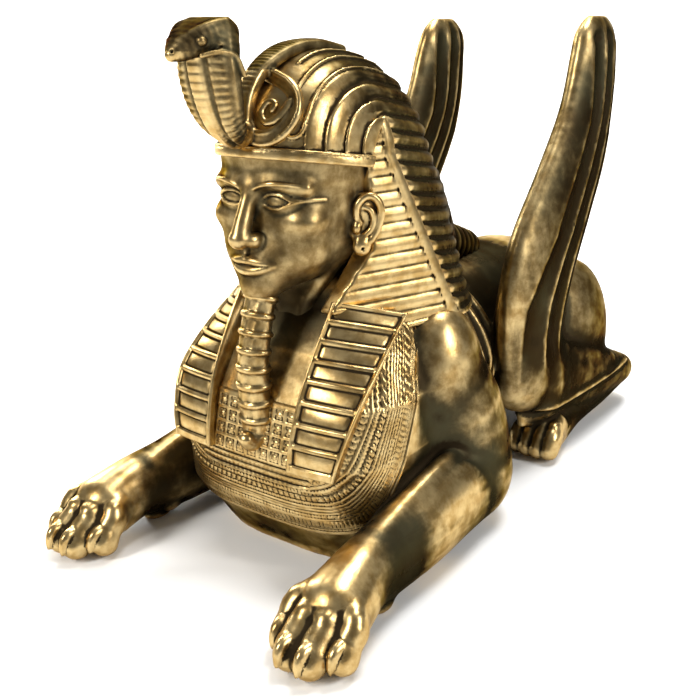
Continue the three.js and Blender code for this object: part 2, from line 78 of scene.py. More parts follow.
# %% measures
SHIFT = np.array([7.0, -365.85, 0.0])  # from the claws to the middle of the footprint
MM = 0.001  # metres in a millimetre
TOP = 480.0  # the three bearing points
SIDES = (1, -1)  # left, right
print("modelled from the claws and moved by", SHIFT, "mm, bearing points at", TOP, "mm")

# %% [markdown]
# ## Clay
#
# A lion's body is all soft forms that run into one another. They could be carved from subdivided boxes
# or joined from round primitives with a remesh, but then each fillet would have to be modelled. Here
# they are held as a distance field: a grid of numbers that say how far each point lies from the
# surface, negative inside. Two forms join by taking the smaller distance. Where a sculptor would press
# fresh clay into the seam, a smooth minimum does the same, and its width is the fillet.

# %% blending
f4 = np.float32  # half the memory, and fine enough for a hundredth of a millimetre


def melt(a, b, k):
    """Join two forms with a fillet about k wide."""
    if k <= 0:
        return np.minimum(a, b)
    h = np.clip(0.5 + 0.5 * (b - a) / k, 0, 1)
    return b * (1 - h) + a * h - k * h * (1 - h)


def meet(a, b, k):
    """Keep only what lies in both forms, with the edge rounded by k."""
    return -melt(-a, -b, k)


def blurred(d, axis):
    """A field averaged with its neighbours along one axis, which rounds creases."""
    d = np.moveaxis(d, axis, 0)
    d = np.concatenate([d[:1], (d[:-2] + 2 * d[1:-1] + d[2:]) / 4, d[-1:]])
    return np.moveaxis(d, 0, axis)


def ramp(x, low, high):
    """0 below low, 1 above high, smooth between."""
    t = np.clip((x - low) / (high - low), 0, 1)
    return t * t * (3 - 2 * t)


def curve_through(rows, steps):
    """Rows on a smooth line through the given rows, so many steps to a span."""
    rows = np.array(rows, float)
    p = np.vstack([2 * rows[0] - rows[1], rows, 2 * rows[-1] - rows[-2]])
    out = []
    for i in range(len(rows) - 1):
        a, b, c, d = p[i:i + 4]
        for t in np.arange(steps) / steps:
            out.append(0.5 * (2 * b + (c - a) * t + (2 * a - 5 * b + 4 * c - d) * t ** 2
                              + (3 * b - a - 3 * c + d) * t ** 3))
    out.append(rows[-1])
    return np.array(out)


print("a fillet 4 mm wide adds", float(-melt(0.0, 0.0, 4.0)), "mm of clay in the seam")

# %% the block of clay
FAR = 40.0  # the distance where there is no clay yet


class Clay:
    """A box of space with the distance to the surface at every grid point."""

    def __init__(self, low, high, cell):
        """An empty block between two corners, with a grid of so many millimetres."""
        self.cell = cell
        self.low = np.array(low, float)
        count = [int(math.ceil((high[i] - low[i]) / cell)) + 1 for i in range(3)]
        self.axes = [(low[i] + cell * np.arange(count[i])).astype(f4) for i in range(3)]
        self.d = np.full(count, FAR, f4)

    def window(self, low, high):
        """The part of the grid between two corners, and its coordinates."""
        part = []
        for i in range(3):
            first = max(int(math.floor((low[i] - self.low[i]) / self.cell)), 0)
            last = min(int(math.ceil((high[i] - self.low[i]) / self.cell)) + 1, self.d.shape[i])
            part.append(slice(first, max(last, first)))
        return tuple(part), np.ix_(*(self.axes[i][part[i]] for i in range(3)))

    def apply(self, form, low, high, k, how):
        """Change the clay near the box of a form, which gives its distance at grid points."""
        part, grid = self.window([v - k - 6 for v in low], [v + k + 6 for v in high])
        if min(self.d[part].shape) > 0:
            self.d[part] = how(self.d[part], form(*grid), k)

    def add(self, form, low, high, k=0.0):
        """Melt a form onto the clay."""
        self.apply(form, low, high, k, melt)

    def cut(self, form, low, high, k=0.0):
        """Take a form out of the clay."""
        self.apply(form, low, high, k, lambda a, b, r: meet(a, -b, r))

    def egg(self, centre, radii, k=4.0, cut=False, turn=None):
        """An ellipsoid pressed onto the clay or scooped out of it."""
        c, r = np.array(centre, float), np.array(radii, float)
        reach = np.full(3, r.max()) if turn is not None else r

        def form(x, y, z):
            q = [x - f4(c[0]), y - f4(c[1]), z - f4(c[2])]
            if turn is not None:
                q = [sum(f4(turn[i][j]) * q[j] for j in range(3)) for i in range(3)]
            near = np.sqrt(sum((q[i] / f4(r[i])) ** 2 for i in range(3)))
            slope = np.sqrt(sum((q[i] / f4(r[i] ** 2)) ** 2 for i in range(3)))
            return (near * (near - 1) / np.maximum(slope, 1e-6)).astype(f4)

        (self.cut if cut else self.add)(form, c - reach, c + reach, k)

    def flats(self):
        """Flat on the floor and flat under the table top."""
        z = self.axes[2][None, None, :]
        self.d = np.maximum(self.d, np.maximum(-z, z - f4(TOP)))


trial = Clay((-14, -14, -14), (14, 14, 14), 1.0)
print("a trial block of 28 mm has", trial.d.size, "grid points")


# %% limbs
def link(start, end, grid, up, square, relief, run):
    """Distance to one link of a limb, between two rows of x, y, z, half width, half height."""
    length = np.linalg.norm(end[:3] - start[:3])
    w = (end[:3] - start[:3]) / length
    u = np.cross(w, up)
    u /= np.linalg.norm(u)
    v = np.cross(u, w)
    x, y, z = (grid[i] - f4(start[i]) for i in range(3))
    along = x * f4(w[0]) + y * f4(w[1]) + z * f4(w[2])
    t = np.clip(along / f4(length), 0, 1)
    a = f4(start[3]) + f4(end[3] - start[3]) * t
    b = f4(start[4]) + f4(end[4] - start[4]) * t
    least = np.minimum(a, b)
    du = x * f4(u[0]) + y * f4(u[1]) + z * f4(u[2])
    dv = x * f4(v[0]) + y * f4(v[1]) + z * f4(v[2])
    dw = along - t * f4(length)
    if square == 2.0:
        near = np.sqrt((du / a) ** 2 + (dv / b) ** 2 + (dw / least) ** 2)
    else:
        near = (np.abs(du / a) ** square + np.abs(dv / b) ** square) ** (1 / square)
        near = np.sqrt(near ** 2 + (dw / least) ** 2)
    slope = np.sqrt((du / a ** 2) ** 2 + (dv / b ** 2) ** 2 + (dw / least ** 2) ** 2)
    d = near * (near - 1) / np.maximum(slope, 1e-5)
    if relief is not None:
        d = d - relief(du / a, dv / b, run + along)
    return d.astype(f4)


def limb(clay, rows, k, steps=3, up=(0, 0, 1), square=2.0, relief=None, cut=False):
    """A limb through rows of x, y, z, half width, half height.

    relief gets the place round the section (two numbers, 1 on the surface) and along the
    limb in millimetres, and gives how far the surface stands proud there.
    """
    s = curve_through(rows, steps) if steps > 1 else np.array(rows, float)
    radius = s[:, 3:5].max(1)
    margin = k + 8
    part, _ = clay.window((s[:, :3] - radius[:, None]).min(0) - margin,
                          (s[:, :3] + radius[:, None]).max(0) + margin)
    own = np.full(clay.d[part].shape, FAR, f4)
    run = 0.0
    for i in range(len(s) - 1):
        length = np.linalg.norm(s[i + 1, :3] - s[i, :3])
        if length < 1e-6:
            continue
        reach = max(radius[i], radius[i + 1]) + margin
        near, _ = clay.window(s[i:i + 2, :3].min(0) - reach, s[i:i + 2, :3].max(0) + reach)
        first = [max(near[j].start, part[j].start) for j in range(3)]
        last = [max(min(near[j].stop, part[j].stop), first[j]) for j in range(3)]
        inner = tuple(slice(first[j] - part[j].start, last[j] - part[j].start) for j in range(3))
        grid = np.ix_(*(clay.axes[j][first[j]:last[j]] for j in range(3)))
        if min(own[inner].shape) > 0:
            d = link(s[i], s[i + 1], grid, up, square, relief, run)
            own[inner] = np.minimum(own[inner], d)
            run += length
    for axis in range(3):
        own = blurred(own, axis)
    clay.d[part] = meet(clay.d[part], -own, k) if cut else melt(clay.d[part], own, k)


Clay.limb = limb


def distance(q, cell):
    """A field that is 1 on the surface becomes a distance when it is divided by its slope."""
    g = np.gradient(q.astype(f4), cell)
    return ((q - 1) / np.maximum(np.sqrt(g[0] ** 2 + g[1] ** 2 + g[2] ** 2), 1e-4)).astype(f4)


# %% [markdown]
# ## From clay to mesh
#
# One vertex goes into every grid cell that the surface passes through, and one quad round every grid
# edge that it crosses. The vertices then slide along the slope of the field until they lie on it, so
# chased edges stay crisp. Marching cubes would do the same job with many thin slivers among its faces.

# %% sliding points onto the surface
def settle(d, points, rounds=2):
    """Slide points, in grid units, down the slope of the field onto its zero."""
    for _ in range(rounds):
        base = np.clip(np.floor(points).astype(int), 0, np.array(d.shape) - 2)
        t = np.clip(points - base, 0, 1)
        c = [[[d[base[:, 0] + i, base[:, 1] + j, base[:, 2] + k] for k in (0, 1)] for j in (0, 1)]
             for i in (0, 1)]
        x, y, z = t.T
        edge = [[c[0][j][k] * (1 - x) + c[1][j][k] * x for k in (0, 1)] for j in (0, 1)]
        side = [edge[0][k] * (1 - y) + edge[1][k] * y for k in (0, 1)]
        here = side[0] * (1 - z) + side[1] * z
        gz = side[1] - side[0]
        gy = (edge[1][0] - edge[0][0]) * (1 - z) + (edge[1][1] - edge[0][1]) * z
        gx = ((c[1][0][0] - c[0][0][0]) * (1 - y) + (c[1][1][0] - c[0][1][0]) * y) * (1 - z) \
            + ((c[1][0][1] - c[0][0][1]) * (1 - y) + (c[1][1][1] - c[0][1][1]) * y) * z
        g = np.stack([gx, gy, gz], 1)
        step = here[:, None] * g / np.maximum((g ** 2).sum(1), 1e-3)[:, None]
        points = points - np.clip(step, -0.5, 0.5)
    return points


# %% surface
def surface(clay):
    """Points and four-cornered faces of the clay's skin, in millimetres."""
    d = np.pad(clay.d, 1, constant_values=10.0)
    inside = d < 0
    count = np.zeros([n - 1 for n in d.shape], np.int8)
    halves = (slice(0, -1), slice(1, None))
    for i in halves:
        for j in halves:
            for k in halves:
                count += inside[i, j, k]
    cells = np.stack(np.nonzero((count > 0) & (count < 8)), 1)
    index = np.full(count.shape, -1, np.int64)
    index[tuple(cells.T)] = np.arange(len(cells))
    place = np.zeros((len(cells), 3))
    weight = np.zeros(len(cells))
    corners = [(i, j, k) for i in (0, 1) for j in (0, 1) for k in (0, 1)]
    value = {c: d[cells[:, 0] + c[0], cells[:, 1] + c[1], cells[:, 2] + c[2]] for c in corners}
    for a in corners:
        for axis in range(3):
            if a[axis] == 0:
                b = tuple(1 if n == axis else a[n] for n in range(3))
                crossed = (value[a] < 0) != (value[b] < 0)
                t = np.where(crossed, value[a] / np.where(crossed, value[a] - value[b], 1), 0)
                p = np.tile(np.array(a, float), (len(cells), 1))
                p[:, axis] += t
                place += p * crossed[:, None]
                weight += crossed
    points = cells + place / weight[:, None]
    quads = []
    for axis in range(3):
        low, high = [slice(None)] * 3, [slice(None)] * 3
        low[axis], high[axis] = slice(0, -1), slice(1, None)
        start, end = inside[tuple(low)], inside[tuple(high)]
        u, v = [n for n in range(3) if n != axis]
        p = np.stack(np.nonzero(start != end), 1)
        p = p[(p[:, u] > 0) & (p[:, v] > 0)]
        out = start[tuple(p.T)]
        ring = []
        for du, dv in ((1, 1), (0, 1), (0, 0), (1, 0)):
            q = p.copy()
            q[:, u] -= du
            q[:, v] -= dv
            ring.append(index[tuple(q.T)])
        ring = np.stack(ring, 1)
        turn = out if axis != 1 else ~out
        ring[~turn] = ring[~turn][:, ::-1]
        quads.append(ring)
    return settle(d, points) * clay.cell + clay.low - clay.cell, np.vstack(quads)


trial.egg((0, 0, 0), (10, 10, 10), 0)
points, faces = surface(trial)
radii = np.linalg.norm(points, axis=1).round(2)
print("a trial ball of 10 mm comes out", radii.min(), "to", radii.max(), "mm in", len(faces), "faces")

# %% [markdown]
# ## Patina and painted shade data
#
# The finisher rubs the high places bright and leaves the patina in the hollows. To colour the metal
# the same way, each vertex is compared with the average of its neighbours: a vertex that stands above
# the average is a ridge, one below it lies in a hollow. A few rounds of averaging find fine chasing,
# many rounds find the broad hollows between the limbs, which are darkened as painted shade. A shader
# could find edges while it renders, but data on the vertices is the same in every view and survives a bake.
#
# The casting is one piece of metal. It is kept as eight meshes here only because a mesh of this
# library holds at most 200,000 triangles, so they overlap, and all stand for the one solid.

# %% mesh, its wear and its painted shade
# the broad measure finds the hollows between the limbs that are darkened as painted shade
FINE_RELIEF, BROAD_SHADE_RELIEF = 0.00022, 0.0016  # metres off the average that count as a full ridge or hollow


print("a ridge of", FINE_RELIEF / MM, "mm is rubbed bright")


def averaged(points, edges, rounds):
    """Points after so many rounds of moving halfway to the mean of their neighbours."""
    count = np.maximum(np.bincount(edges.ravel(), minlength=len(points)), 1)
    for _ in range(rounds):
        total = np.stack([
            np.bincount(edges[:, 0], points[edges[:, 1], i], len(points))
            + np.bincount(edges[:, 1], points[edges[:, 0], i], len(points)) for i in range(points.shape[1])
        ], 1)
        points = 0.5 * points + 0.5 * total / count[:, None]
    return points


def finish_mesh(mesh, gold):
    """Smooth shading, and at each vertex how worn the metal is, its broad hollow for painted shade, and its
    tone.
    """
    n = len(mesh.vertices)
    co = np.zeros(n * 3)
    mesh.vertices.foreach_get("co", co)
    co = co.reshape(-1, 3)
    normal = np.zeros(n * 3)
    mesh.vertices.foreach_get("normal", normal)
    normal = normal.reshape(-1, 3)
    edges = np.zeros(len(mesh.edges) * 2, int)
    mesh.edges.foreach_get("vertices", edges)
    edges = edges.reshape(-1, 2)
    fine = ((averaged(co, edges, 3) - co) * normal).sum(1) / FINE_RELIEF
    broad = ((averaged(co, edges, 30) - co) * normal).sum(1) / BROAD_SHADE_RELIEF
    soft = averaged(np.stack([fine, broad], 1), edges, 1)
    worn = np.clip(0.5 - 0.5 * soft[:, 0], 0, 1)
    # the broad hollows between the limbs, which the material darkens as painted shade
    hollow = np.clip(0.5 + 0.5 * soft[:, 1], 0, 1)
    # the tone: how gold the metal is, with the painted shade and painted highlight that some pieces add
    tone = np.clip(gold(co / MM - SHIFT, normal), 0, 1)
    data = np.ones((n, 4))
    data[:, 0], data[:, 1], data[:, 2] = worn, hollow, tone
    layer = mesh.color_attributes.new("patina", "FLOAT_COLOR", "POINT")
    layer.data.foreach_set("color", data.ravel())
    mesh.polygons.foreach_set("use_smooth", [True] * len(mesh.polygons))


# %% pieces of the casting
# the most triangles of each mesh, which together stay below a million
MOST = {"body": 190000, "head": 150000, "headdress": 190000, "cobra": 105000, "collar": 165000,
        "lappet_left": 52000, "lappet_right": 52000, "beard": 45000}


def make_piece(part, points, faces, gold):
    """A mesh of the casting that stands for the solid, slimmed to the triangles it may have."""
    name, triangles = "sphinx_" + part, MOST[part]
    mesh = bpy.data.meshes.new(name)
    mesh.from_pydata(((points + SHIFT) * MM).tolist(), [], faces.tolist())
    piece = bpy.data.objects.new(name, mesh)
    bpy.context.collection.objects.link(piece)
    total = sum(len(p.vertices) - 2 for p in mesh.polygons)
    if total > triangles:
        slim = piece.modifiers.new("slim", "DECIMATE")
        slim.ratio = triangles / total
        graph = bpy.context.evaluated_depsgraph_get()
        slimmed = bpy.data.meshes.new_from_object(piece.evaluated_get(graph))
        piece.modifiers.clear()
        piece.data = slimmed
        bpy.data.meshes.remove(mesh)
        slimmed.name = name
        mesh = slimmed
    finish_mesh(mesh, gold)
    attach(piece, "root")
    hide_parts("sphinx")
    print(name, total, "triangles, kept", sum(len(p.vertices) - 2 for p in mesh.polygons))


def on_side(rows, side, back=0.0):
    """The same rows on the other side of the body, moved back."""
    rows = np.array(rows, float)
    rows[:, 0] *= side
    rows[:, 1] += back
    return rows


# %% [markdown]
# ## The lion's body
#
# The trunk is a loft: a list of ovals along the back, joined by a smooth curve. A chain of round limbs
# would be quicker to write, but it shows a ring at every link. The breast is a second loft with boxy
# level sections, because a collar and two lappets lie on it. Shoulders, elbows and haunches are laid
# on and melted in, and each paw is four toes with a knuckle and a claw.

# %% trunk and breast
FINE = 2.2
body = Clay((-200, -40, -8), (200, 775, 490), FINE)
# y, middle height, half width and half height of the ovals from the breast to the rump
TRUNK = curve_through([
    (205, 112, 84, 92), (260, 114, 98, 106), (330, 122, 96, 104), (410, 134, 84, 95), (490, 138, 80, 90),
    (570, 134, 82, 92), (630, 122, 76, 82), (680, 109, 65, 69), (704, 107, 59, 62), (722, 107, 52, 55),
    (740, 107, 43, 45), (756, 107, 34, 36),
], 6)
RUMP_END, RUMP_ROUND = 744, 40


def trunk(x, y, z):
    """The loft through the ovals, with a rounded end behind."""
    middle, a, b = (np.interp(y, TRUNK[:, 0], TRUNK[:, i]) for i in (1, 2, 3))
    oval = distance(np.sqrt((x / a) ** 2 + ((z - middle) / b) ** 2), FINE)
    return meet(oval, y - RUMP_END, RUMP_ROUND)


# height, half width, half depth and middle of the breast's level sections
CHEST_Z = [-20, 10, 35, 60, 110, 160, 200, 235, 262]
CHEST_WIDTH = [72, 98, 106, 115, 117, 114, 98, 78, 62]
CHEST_DEPTH = [54, 68, 83, 97, 101, 97, 84, 68, 54]
CHEST_MIDDLE = [206, 204.7, 204, 203, 203, 211, 222, 231, 224]
CHEST_SQUARE = 3.4


def chest(x, y, z):
    """Rounded boxes from the floor to the neck."""
    a, b = np.interp(z, CHEST_Z, CHEST_WIDTH), np.interp(z, CHEST_Z, CHEST_DEPTH)
    middle = np.interp(z, CHEST_Z, CHEST_MIDDLE)
    q = np.abs(x / a) ** CHEST_SQUARE + np.abs((y - middle) / b) ** CHEST_SQUARE
    box = distance(q ** (1 / CHEST_SQUARE), FINE)
    return meet(meet(box, z - 264, 12), -16 - z, 10).astype(f4)


body.add(trunk, (-104, 200, 0), (104, 752, 236), 0)
body.add(chest, (-122, 96, -12), (122, 310, 290), 12)
print("trunk", TRUNK[0, 0], "to", RUMP_END, "mm, breast up to 264 mm")

# %% front legs
# how much further back and out the right paw lies
RIGHT_PAW_BACK, RIGHT_PAW_OUT = 9.0, 14.0
UPPER_ARM = [(92, 258, 170, 40, 46), (106, 280, 120, 44, 50), (118, 292, 60, 40, 46), (120, 294, 44, 36, 46)]
FOREARM = [
    (120, 292, 44, 35, 46), (128, 235, 48, 32, 44), (132, 180, 46, 29, 43),
    (132, 122, 42, 26, 38), (134, 80, 42, 27, 32), (136, 44, 34, 32, 31),
]
FORE_RIDGE = [(122, 286, 84, 7, 7), (130, 215, 90, 6, 6), (133, 150, 81, 5, 5), (134, 100, 68, 4, 4)]
PAW_X = 136
# each toe's place across the paw, its front and its thickness
TOES = [(-28, 8, 12.5), (-9.5, -9, 14), (10, -9, 14), (28.5, 8, 12.5)]


def foreleg(side):
    """Upper arm, elbow, forearm and a paw of four toes."""
    shift = RIGHT_PAW_BACK if side < 0 else 0.0
    spread = RIGHT_PAW_OUT if side < 0 else 0.0
    arm = [(x + spread * i / 5, y + shift * i / 5, *rest) for i, (x, y, *rest) in enumerate(FOREARM)]
    body.limb(on_side(UPPER_ARM, side), 20, up=(0, 1, 0))
    body.egg((side * 100, 258, 172), (34, 44, 56), 12)
    body.limb(on_side(arm, side), 10)
    # the ridge of the bone, and the two pads of the wrist
    body.limb(on_side(FORE_RIDGE, side), 9)
    body.egg((side * (134 + spread * 0.8), 106 + shift / 2, 9), (13, 17, 15), 5)
    body.egg((side * (118 + spread * 0.8), 112 + shift / 2, 16), (7, 12, 9), 4)
    middle = PAW_X + spread
    for out, front, thick in TOES:
        x, y = middle + out, front + shift
        body.limb(on_side([
            (middle + out * 0.45, 62 + shift, 38, 10, 14), (middle + out * 0.8, 40 + shift, 39, 10.5, 15),
            (x, 25 + y * 0.5 + shift * 0.5, 33, thick - 0.5, 14.5), (x, 13 + y, 25, thick - 1.5, 13),
            (x, 6 + y, 15, thick - 0.5, 15),
        ], side), 3.6)
        # knuckle, the swollen last joint, and claw
        body.egg((side * (middle + out * 0.92), 25 + y * 0.8, 44), (8.5, 8, 6), 4)
        body.egg((side * x, 8 + y, 20), (thick - 0.5, 11, 13), 3)
        body.limb(on_side([
            (x, 3 + y, 31, 5.4, 5), (x, -5 + y, 27, 5.0, 5.6), (x, -9.5 + y, 17, 3.4, 4.2),
            (x, -10 + y, 9, 1.4, 1.8),
        ], side), 0.8)


print("paws", round(TOES[-1][0] + TOES[-1][2] - TOES[0][0] + TOES[0][2], 1), "mm wide")

# %% hind legs and tail
SHANK = [
    (104, 472, 84, 32, 50), (112, 540, 74, 28, 46), (118, 610, 58, 24, 34),
    (124, 668, 46, 18, 22), (124, 688, 42, 14, 17),
]
HIND_FOOT = [(110, 690, 30, 17, 24), (104, 640, 25, 21, 28), (104, 560, 24, 23, 27), (112, 478, 24, 27, 27)]
HIND_TOES = (94, 107, 120, 133)


def hind_leg(side):
    """Haunch, folded shank, and the long foot flat on the floor."""
    body.egg((side * 82, 578, 108), (50, 84, 97), 24)
    body.limb(on_side(SHANK, side), 8)
    body.limb(on_side(HIND_FOOT, side), 7)
    # the fold of the knee and the heel
    body.limb(on_side([(118, 500, 118, 6, 7), (126, 560, 96, 5, 6), (128, 620, 74, 4, 5)], side), 12)
    body.egg((side * 120, 686, 36), (12, 14, 16), 8)
    for x in HIND_TOES:
        front = 449 if x in (HIND_TOES[0], HIND_TOES[-1]) else 446
        body.limb(on_side([
            (x * 0.6 + 45.6, 482, 30, 12, 17), (x, 458, 26, 11, 15), (x, front, 13, 10, 13),
        ], side), 2.6)
        body.egg((side * x, 462, 40), (6, 8, 5), 3)
        claw = [(x, front, 24, 3.6, 4), (x, front - 8, 21, 3.2, 4), (x, front - 10, 13, 1.5, 2)]
        body.limb(on_side(claw, side), 1)


# from the root round the right haunch, ending in a tuft
TAIL = [
    (0, 728, 60, 12, 12), (-46, 738, 24, 11, 11), (-108, 726, 12, 10, 10), (-146, 670, 10, 9.5, 10),
    (-158, 590, 10, 9, 9.5), (-156, 530, 11, 10, 11), (-152, 494, 12, 14, 13), (-146, 462, 10, 8, 8),
]
for side in SIDES:
    foreleg(side)
    hind_leg(side)
body.limb(TAIL, 5)
print("grid of the body:", body.d.shape)

# %% [markdown]
# ## Wings
#
# A wing here is a thick blade with a smooth, rounded leading edge. Behind it, long flutes stand for
# the shafts of the flight feathers and run the whole length, and the tip is blunt and flat. Each wing
# is a loft of level ovals, so that its edge is one clean curve from the flank to the tip, and the
# flutes are pressed into its faces by a formula that fades them out at both ends.

# %% wings
RIGHT_WING_BACK = 14.0  # how much further back the right wing sweeps
# height, x, y, half width and half chord of the ovals
WING = curve_through([
    (60, 101, 450, 6, 12), (68, 101, 450, 20, 36), (80, 101, 450, 27, 50), (100, 102, 449, 30, 59),
    (150, 103, 447, 28, 68), (205, 105, 456, 27, 78), (262, 106, 482, 25, 86), (325, 106, 527, 22, 78),
    (385, 104, 562, 20, 60), (440, 103, 575, 19, 49), (457, 102, 577, 17.5, 44), (467, 102, 577, 14.5, 38),
    (475, 102, 577, 10, 29), (480, 102, 577, 6, 20), (486, 102, 577, 2, 6),
], 6)


def wing_form(side):
    """The blade of one side with its flutes."""
    def form(x, y, z):
        across, along, a, b = (np.interp(z, WING[:, 0], WING[:, i]) for i in (1, 2, 3, 4))
        along = along + (RIGHT_WING_BACK * np.clip((z - 262) / 80, 0, 1) if side < 0 else 0)
        c, s = (side * x - across) / a, (y - along) / b
        return (distance(np.sqrt(c * c + s * s), FINE) - flutes(c, s, z)).astype(f4)
    return form


def flutes(c, s, z):
    """Three lengthwise hollows on both faces of the blade. s runs from -1 in front to 1 behind."""
    start = np.interp(z, [90, 190, 260, 370, 460], [-0.85, -0.75, -0.4, -0.4, -0.75])  # of the first
    phase = np.clip((s - start) / (0.88 - start) * 3, 0, 3)
    hollow = np.abs(np.sin(np.pi * phase)) ** 0.8
    fade = ramp(z, 100, 160) * (1 - 0.8 * ramp(z, 454, 472))
    return -4.2 * hollow * ramp(np.abs(c), 0.15, 0.45) * fade


print("wings rise from", WING[0, 0], "mm and are cut level at", TOP, "mm")


# %% mane
def locks(side):
    """Tufts of the mane on the flank, between the shoulder and the wing."""
    for i in range(6):
        rows = []
        for j, z in enumerate((206, 186, 164, 140, 116)):
            x = 94 * math.sqrt(1 - ((z - 120) / 104) ** 2)
            rows.append((x, 318 + 13 * i + 5 * math.sin(j * 1.3 + i), z, 6 - 0.9 * j, 6.5 - 0.9 * j))
        body.limb(on_side(rows, side), 3)


for side in SIDES:
    low, high = sorted((side * 68, side * 134))
    body.add(wing_form(side), (low, 366, 60), (high, 648, 486), 12)
    locks(side)
body.flats()
points, faces = surface(body)
print("body surface", len(points))


# %% body mesh
def body_gold_and_shade(p, normal):
    """Paws and shoulders are rubbed brighter than the forearms, flanks and wings; the throat under the head
    and the low belly are darkened as painted shade.
    """
    x, y, z = np.abs(p[:, 0]), p[:, 1], p[:, 2]
    shoulder = ramp(-y, -330, -190)
    paw = ramp(-y, -96, -40)
    forearm = ramp(-y, -175, -120) * (z < 125) * (x > 88)
    hind_paw = (y > 430) & (y < 492) & (z < 52) & (x < 145)
    wing = ramp(z, 215, 260)
    # painted shade on the throat under the head
    throat = (x < 52) & (y < 200) & (z > 150)
    # painted shade low on the body, under the trunk near the floor
    belly = (x < 100) & (y > 90) & (z < 70)
    rubbed = 0.02 + 0.22 * shoulder + 0.7 * paw + 0.5 * hind_paw
    return rubbed - 0.17 * forearm - 0.04 * wing - 0.15 * throat - 0.15 * belly


make_piece("body", points, faces, body_gold_and_shade)

# %% [markdown]
# ## The head
#
# The face is a calm, idealised one built on the sculptor's canon. From hairline to chin it falls into
# three equal parts: brow, base of the nose, chin. The eyes are one eye's width apart, the nose is a
# little narrower than an eye, and the mouth lies a third of the way from the nose to the chin.
#
# A face can start from an egg with features stuck on, but the planes of cheek and jaw then go missing.
# Here a smooth mask comes first, from level sections between chin and hairline. Muscles are melted in,
# sockets pressed in, and every feature is laid on the skin that is already there.

# %% canon of the face
FACE_TOP, CHIN = 398.0, 250.0
THIRD = (FACE_TOP - CHIN) / 3
BROW, NOSE = FACE_TOP - THIRD, CHIN + THIRD
MOUTH = NOSE - THIRD / 3
EYE_X, EYE_Z = 24.0, BROW - 12.5
print("brow", round(BROW, 1), "nose", round(NOSE, 1), "mouth", round(MOUTH, 1), "chin", CHIN)

# %% mask
HEAD_MIDDLE = 190.0
# height, half width and foremost point of the mask's level sections
MASK_Z = [249, 252, 257, 263, 272, 284, 297, 312, 328, 350, 372, 398, 410]
MASK_WIDTH = [10, 18, 27, 35, 44, 51.5, 56, 59, 61.5, 63, 63, 60, 52]
MASK_FRONT = [132, 119, 113.5, 112.5, 114, 113, 114, 116, 118, 114, 111.5, 116, 128]
HEAD_CELL = 1.05
head = Clay((-84, 82, 212), (84, 262, 412), HEAD_CELL)


def mask(x, y, z):
    """The whole face without its features, as level sections from the chin to the hairline."""
    a = np.interp(z, MASK_Z, MASK_WIDTH)
    b = HEAD_MIDDLE - np.interp(z, MASK_Z, MASK_FRONT)
    power = np.interp(z, [255, 300, 350], [2.0, 2.25, 2.4])
    q = (np.abs(x / a) ** power + np.abs((y - HEAD_MIDDLE) / b) ** power) ** (1 / power)
    under_jaw = 0.9 * (248 + 0.42 * (y - 122) - z)
    return meet(meet(distance(q, HEAD_CELL), under_jaw, 9), z - 404, 8).astype(f4)


def on_skin(clay, rows, side=1):
    """Rows of x, z, proud, half width and half height, laid on the front of a form."""
    out = []
    for x, z, proud, a, b in rows:
        i = int(round((side * x - clay.low[0]) / clay.cell))
        k = int(round((z - clay.low[2]) / clay.cell))
        column = clay.d[i, :, k]
        j = max(int(np.argmax(column < 0)), 1)
        t = column[j - 1] / (column[j - 1] - column[j])
        out.append((side * x, clay.low[1] + clay.cell * (j - 1 + t) - proud, z, a, b))
    return out


head.add(mask, (-66, 100, 246), (66, 260, 406), 0)
for axis in range(3):
    for _ in range(6):
        head.d = blurred(head.d, axis)
print("grid of the head:", head.d.shape)

# %% neck, chin, cheeks and sockets
head.limb([(0, 206, 214, 50, 48), (0, 200, 260, 44, 42), (0, 196, 300, 42, 44)], 8, up=(0, 1, 0))
# the round of the mouth, and the chin
head.egg((0, 125, MOUTH - 1), (26, 15, 20), 18)
head.egg((0, 121.5, 261), (15, 13, 10), 10)
BROW_RIDGE = [(5, 117, BROW, 6, 6), (24, 117, BROW + 2, 6, 5), (46, 131, BROW - 1, 6, 5)]
for side in SIDES:
    # cheekbone, cheek, brow and the socket under it
    head.egg((side * 39, 137, 319), (17, 17, 13), 16)
    head.egg((side * 31, 142, 292), (17, 17, 18), 16)
    head.limb(on_side(BROW_RIDGE, side), 10)
    head.egg((side * (EYE_X - 1), 101, EYE_Z + 1.5), (18, 19, 9.5), 8, cut=True)

print("sockets", EYE_Z + 1.5, "mm up")

# %% eyes
EYE_HALF, EYE_TILT = 15.0, 0.06
UPPER_ARCH, LOWER_ARCH, LID = 5.6, 4.2, 1.9  # how far the lids open, and their thickness
BALL, BALL_Y = (18.5, 14.5, 12.5), 131.5


def eye(x, y, z):
    """An eyeball with two lids as a thicker skin round an almond opening."""
    u, w = np.abs(x) - EYE_X, z - EYE_Z
    q = np.sqrt((u / BALL[0]) ** 2 + ((y - BALL_Y) / BALL[1]) ** 2 + (w / BALL[2]) ** 2)
    ball = distance(q, HEAD_CELL)
    arch = np.clip(1 - np.abs((u + 1) / EYE_HALF) ** 2.1, 0, 1)
    tilt = EYE_TILT * u
    opening = np.maximum(w - tilt - UPPER_ARCH * arch, tilt - LOWER_ARCH * arch - w)
    shut = ramp(opening, -0.6, 0.7)
    edge = 0.5 * (1 - ramp(np.abs(opening - 1.3), 0.4, 1.3))
    fold = np.abs(w - tilt - UPPER_ARCH * arch - 4.6)
    crease = 0.9 * (1 - ramp(fold, 0.4, 1.4)) * (np.abs(u) < EYE_HALF)
    return (ball - LID * shut - edge + crease).astype(f4)


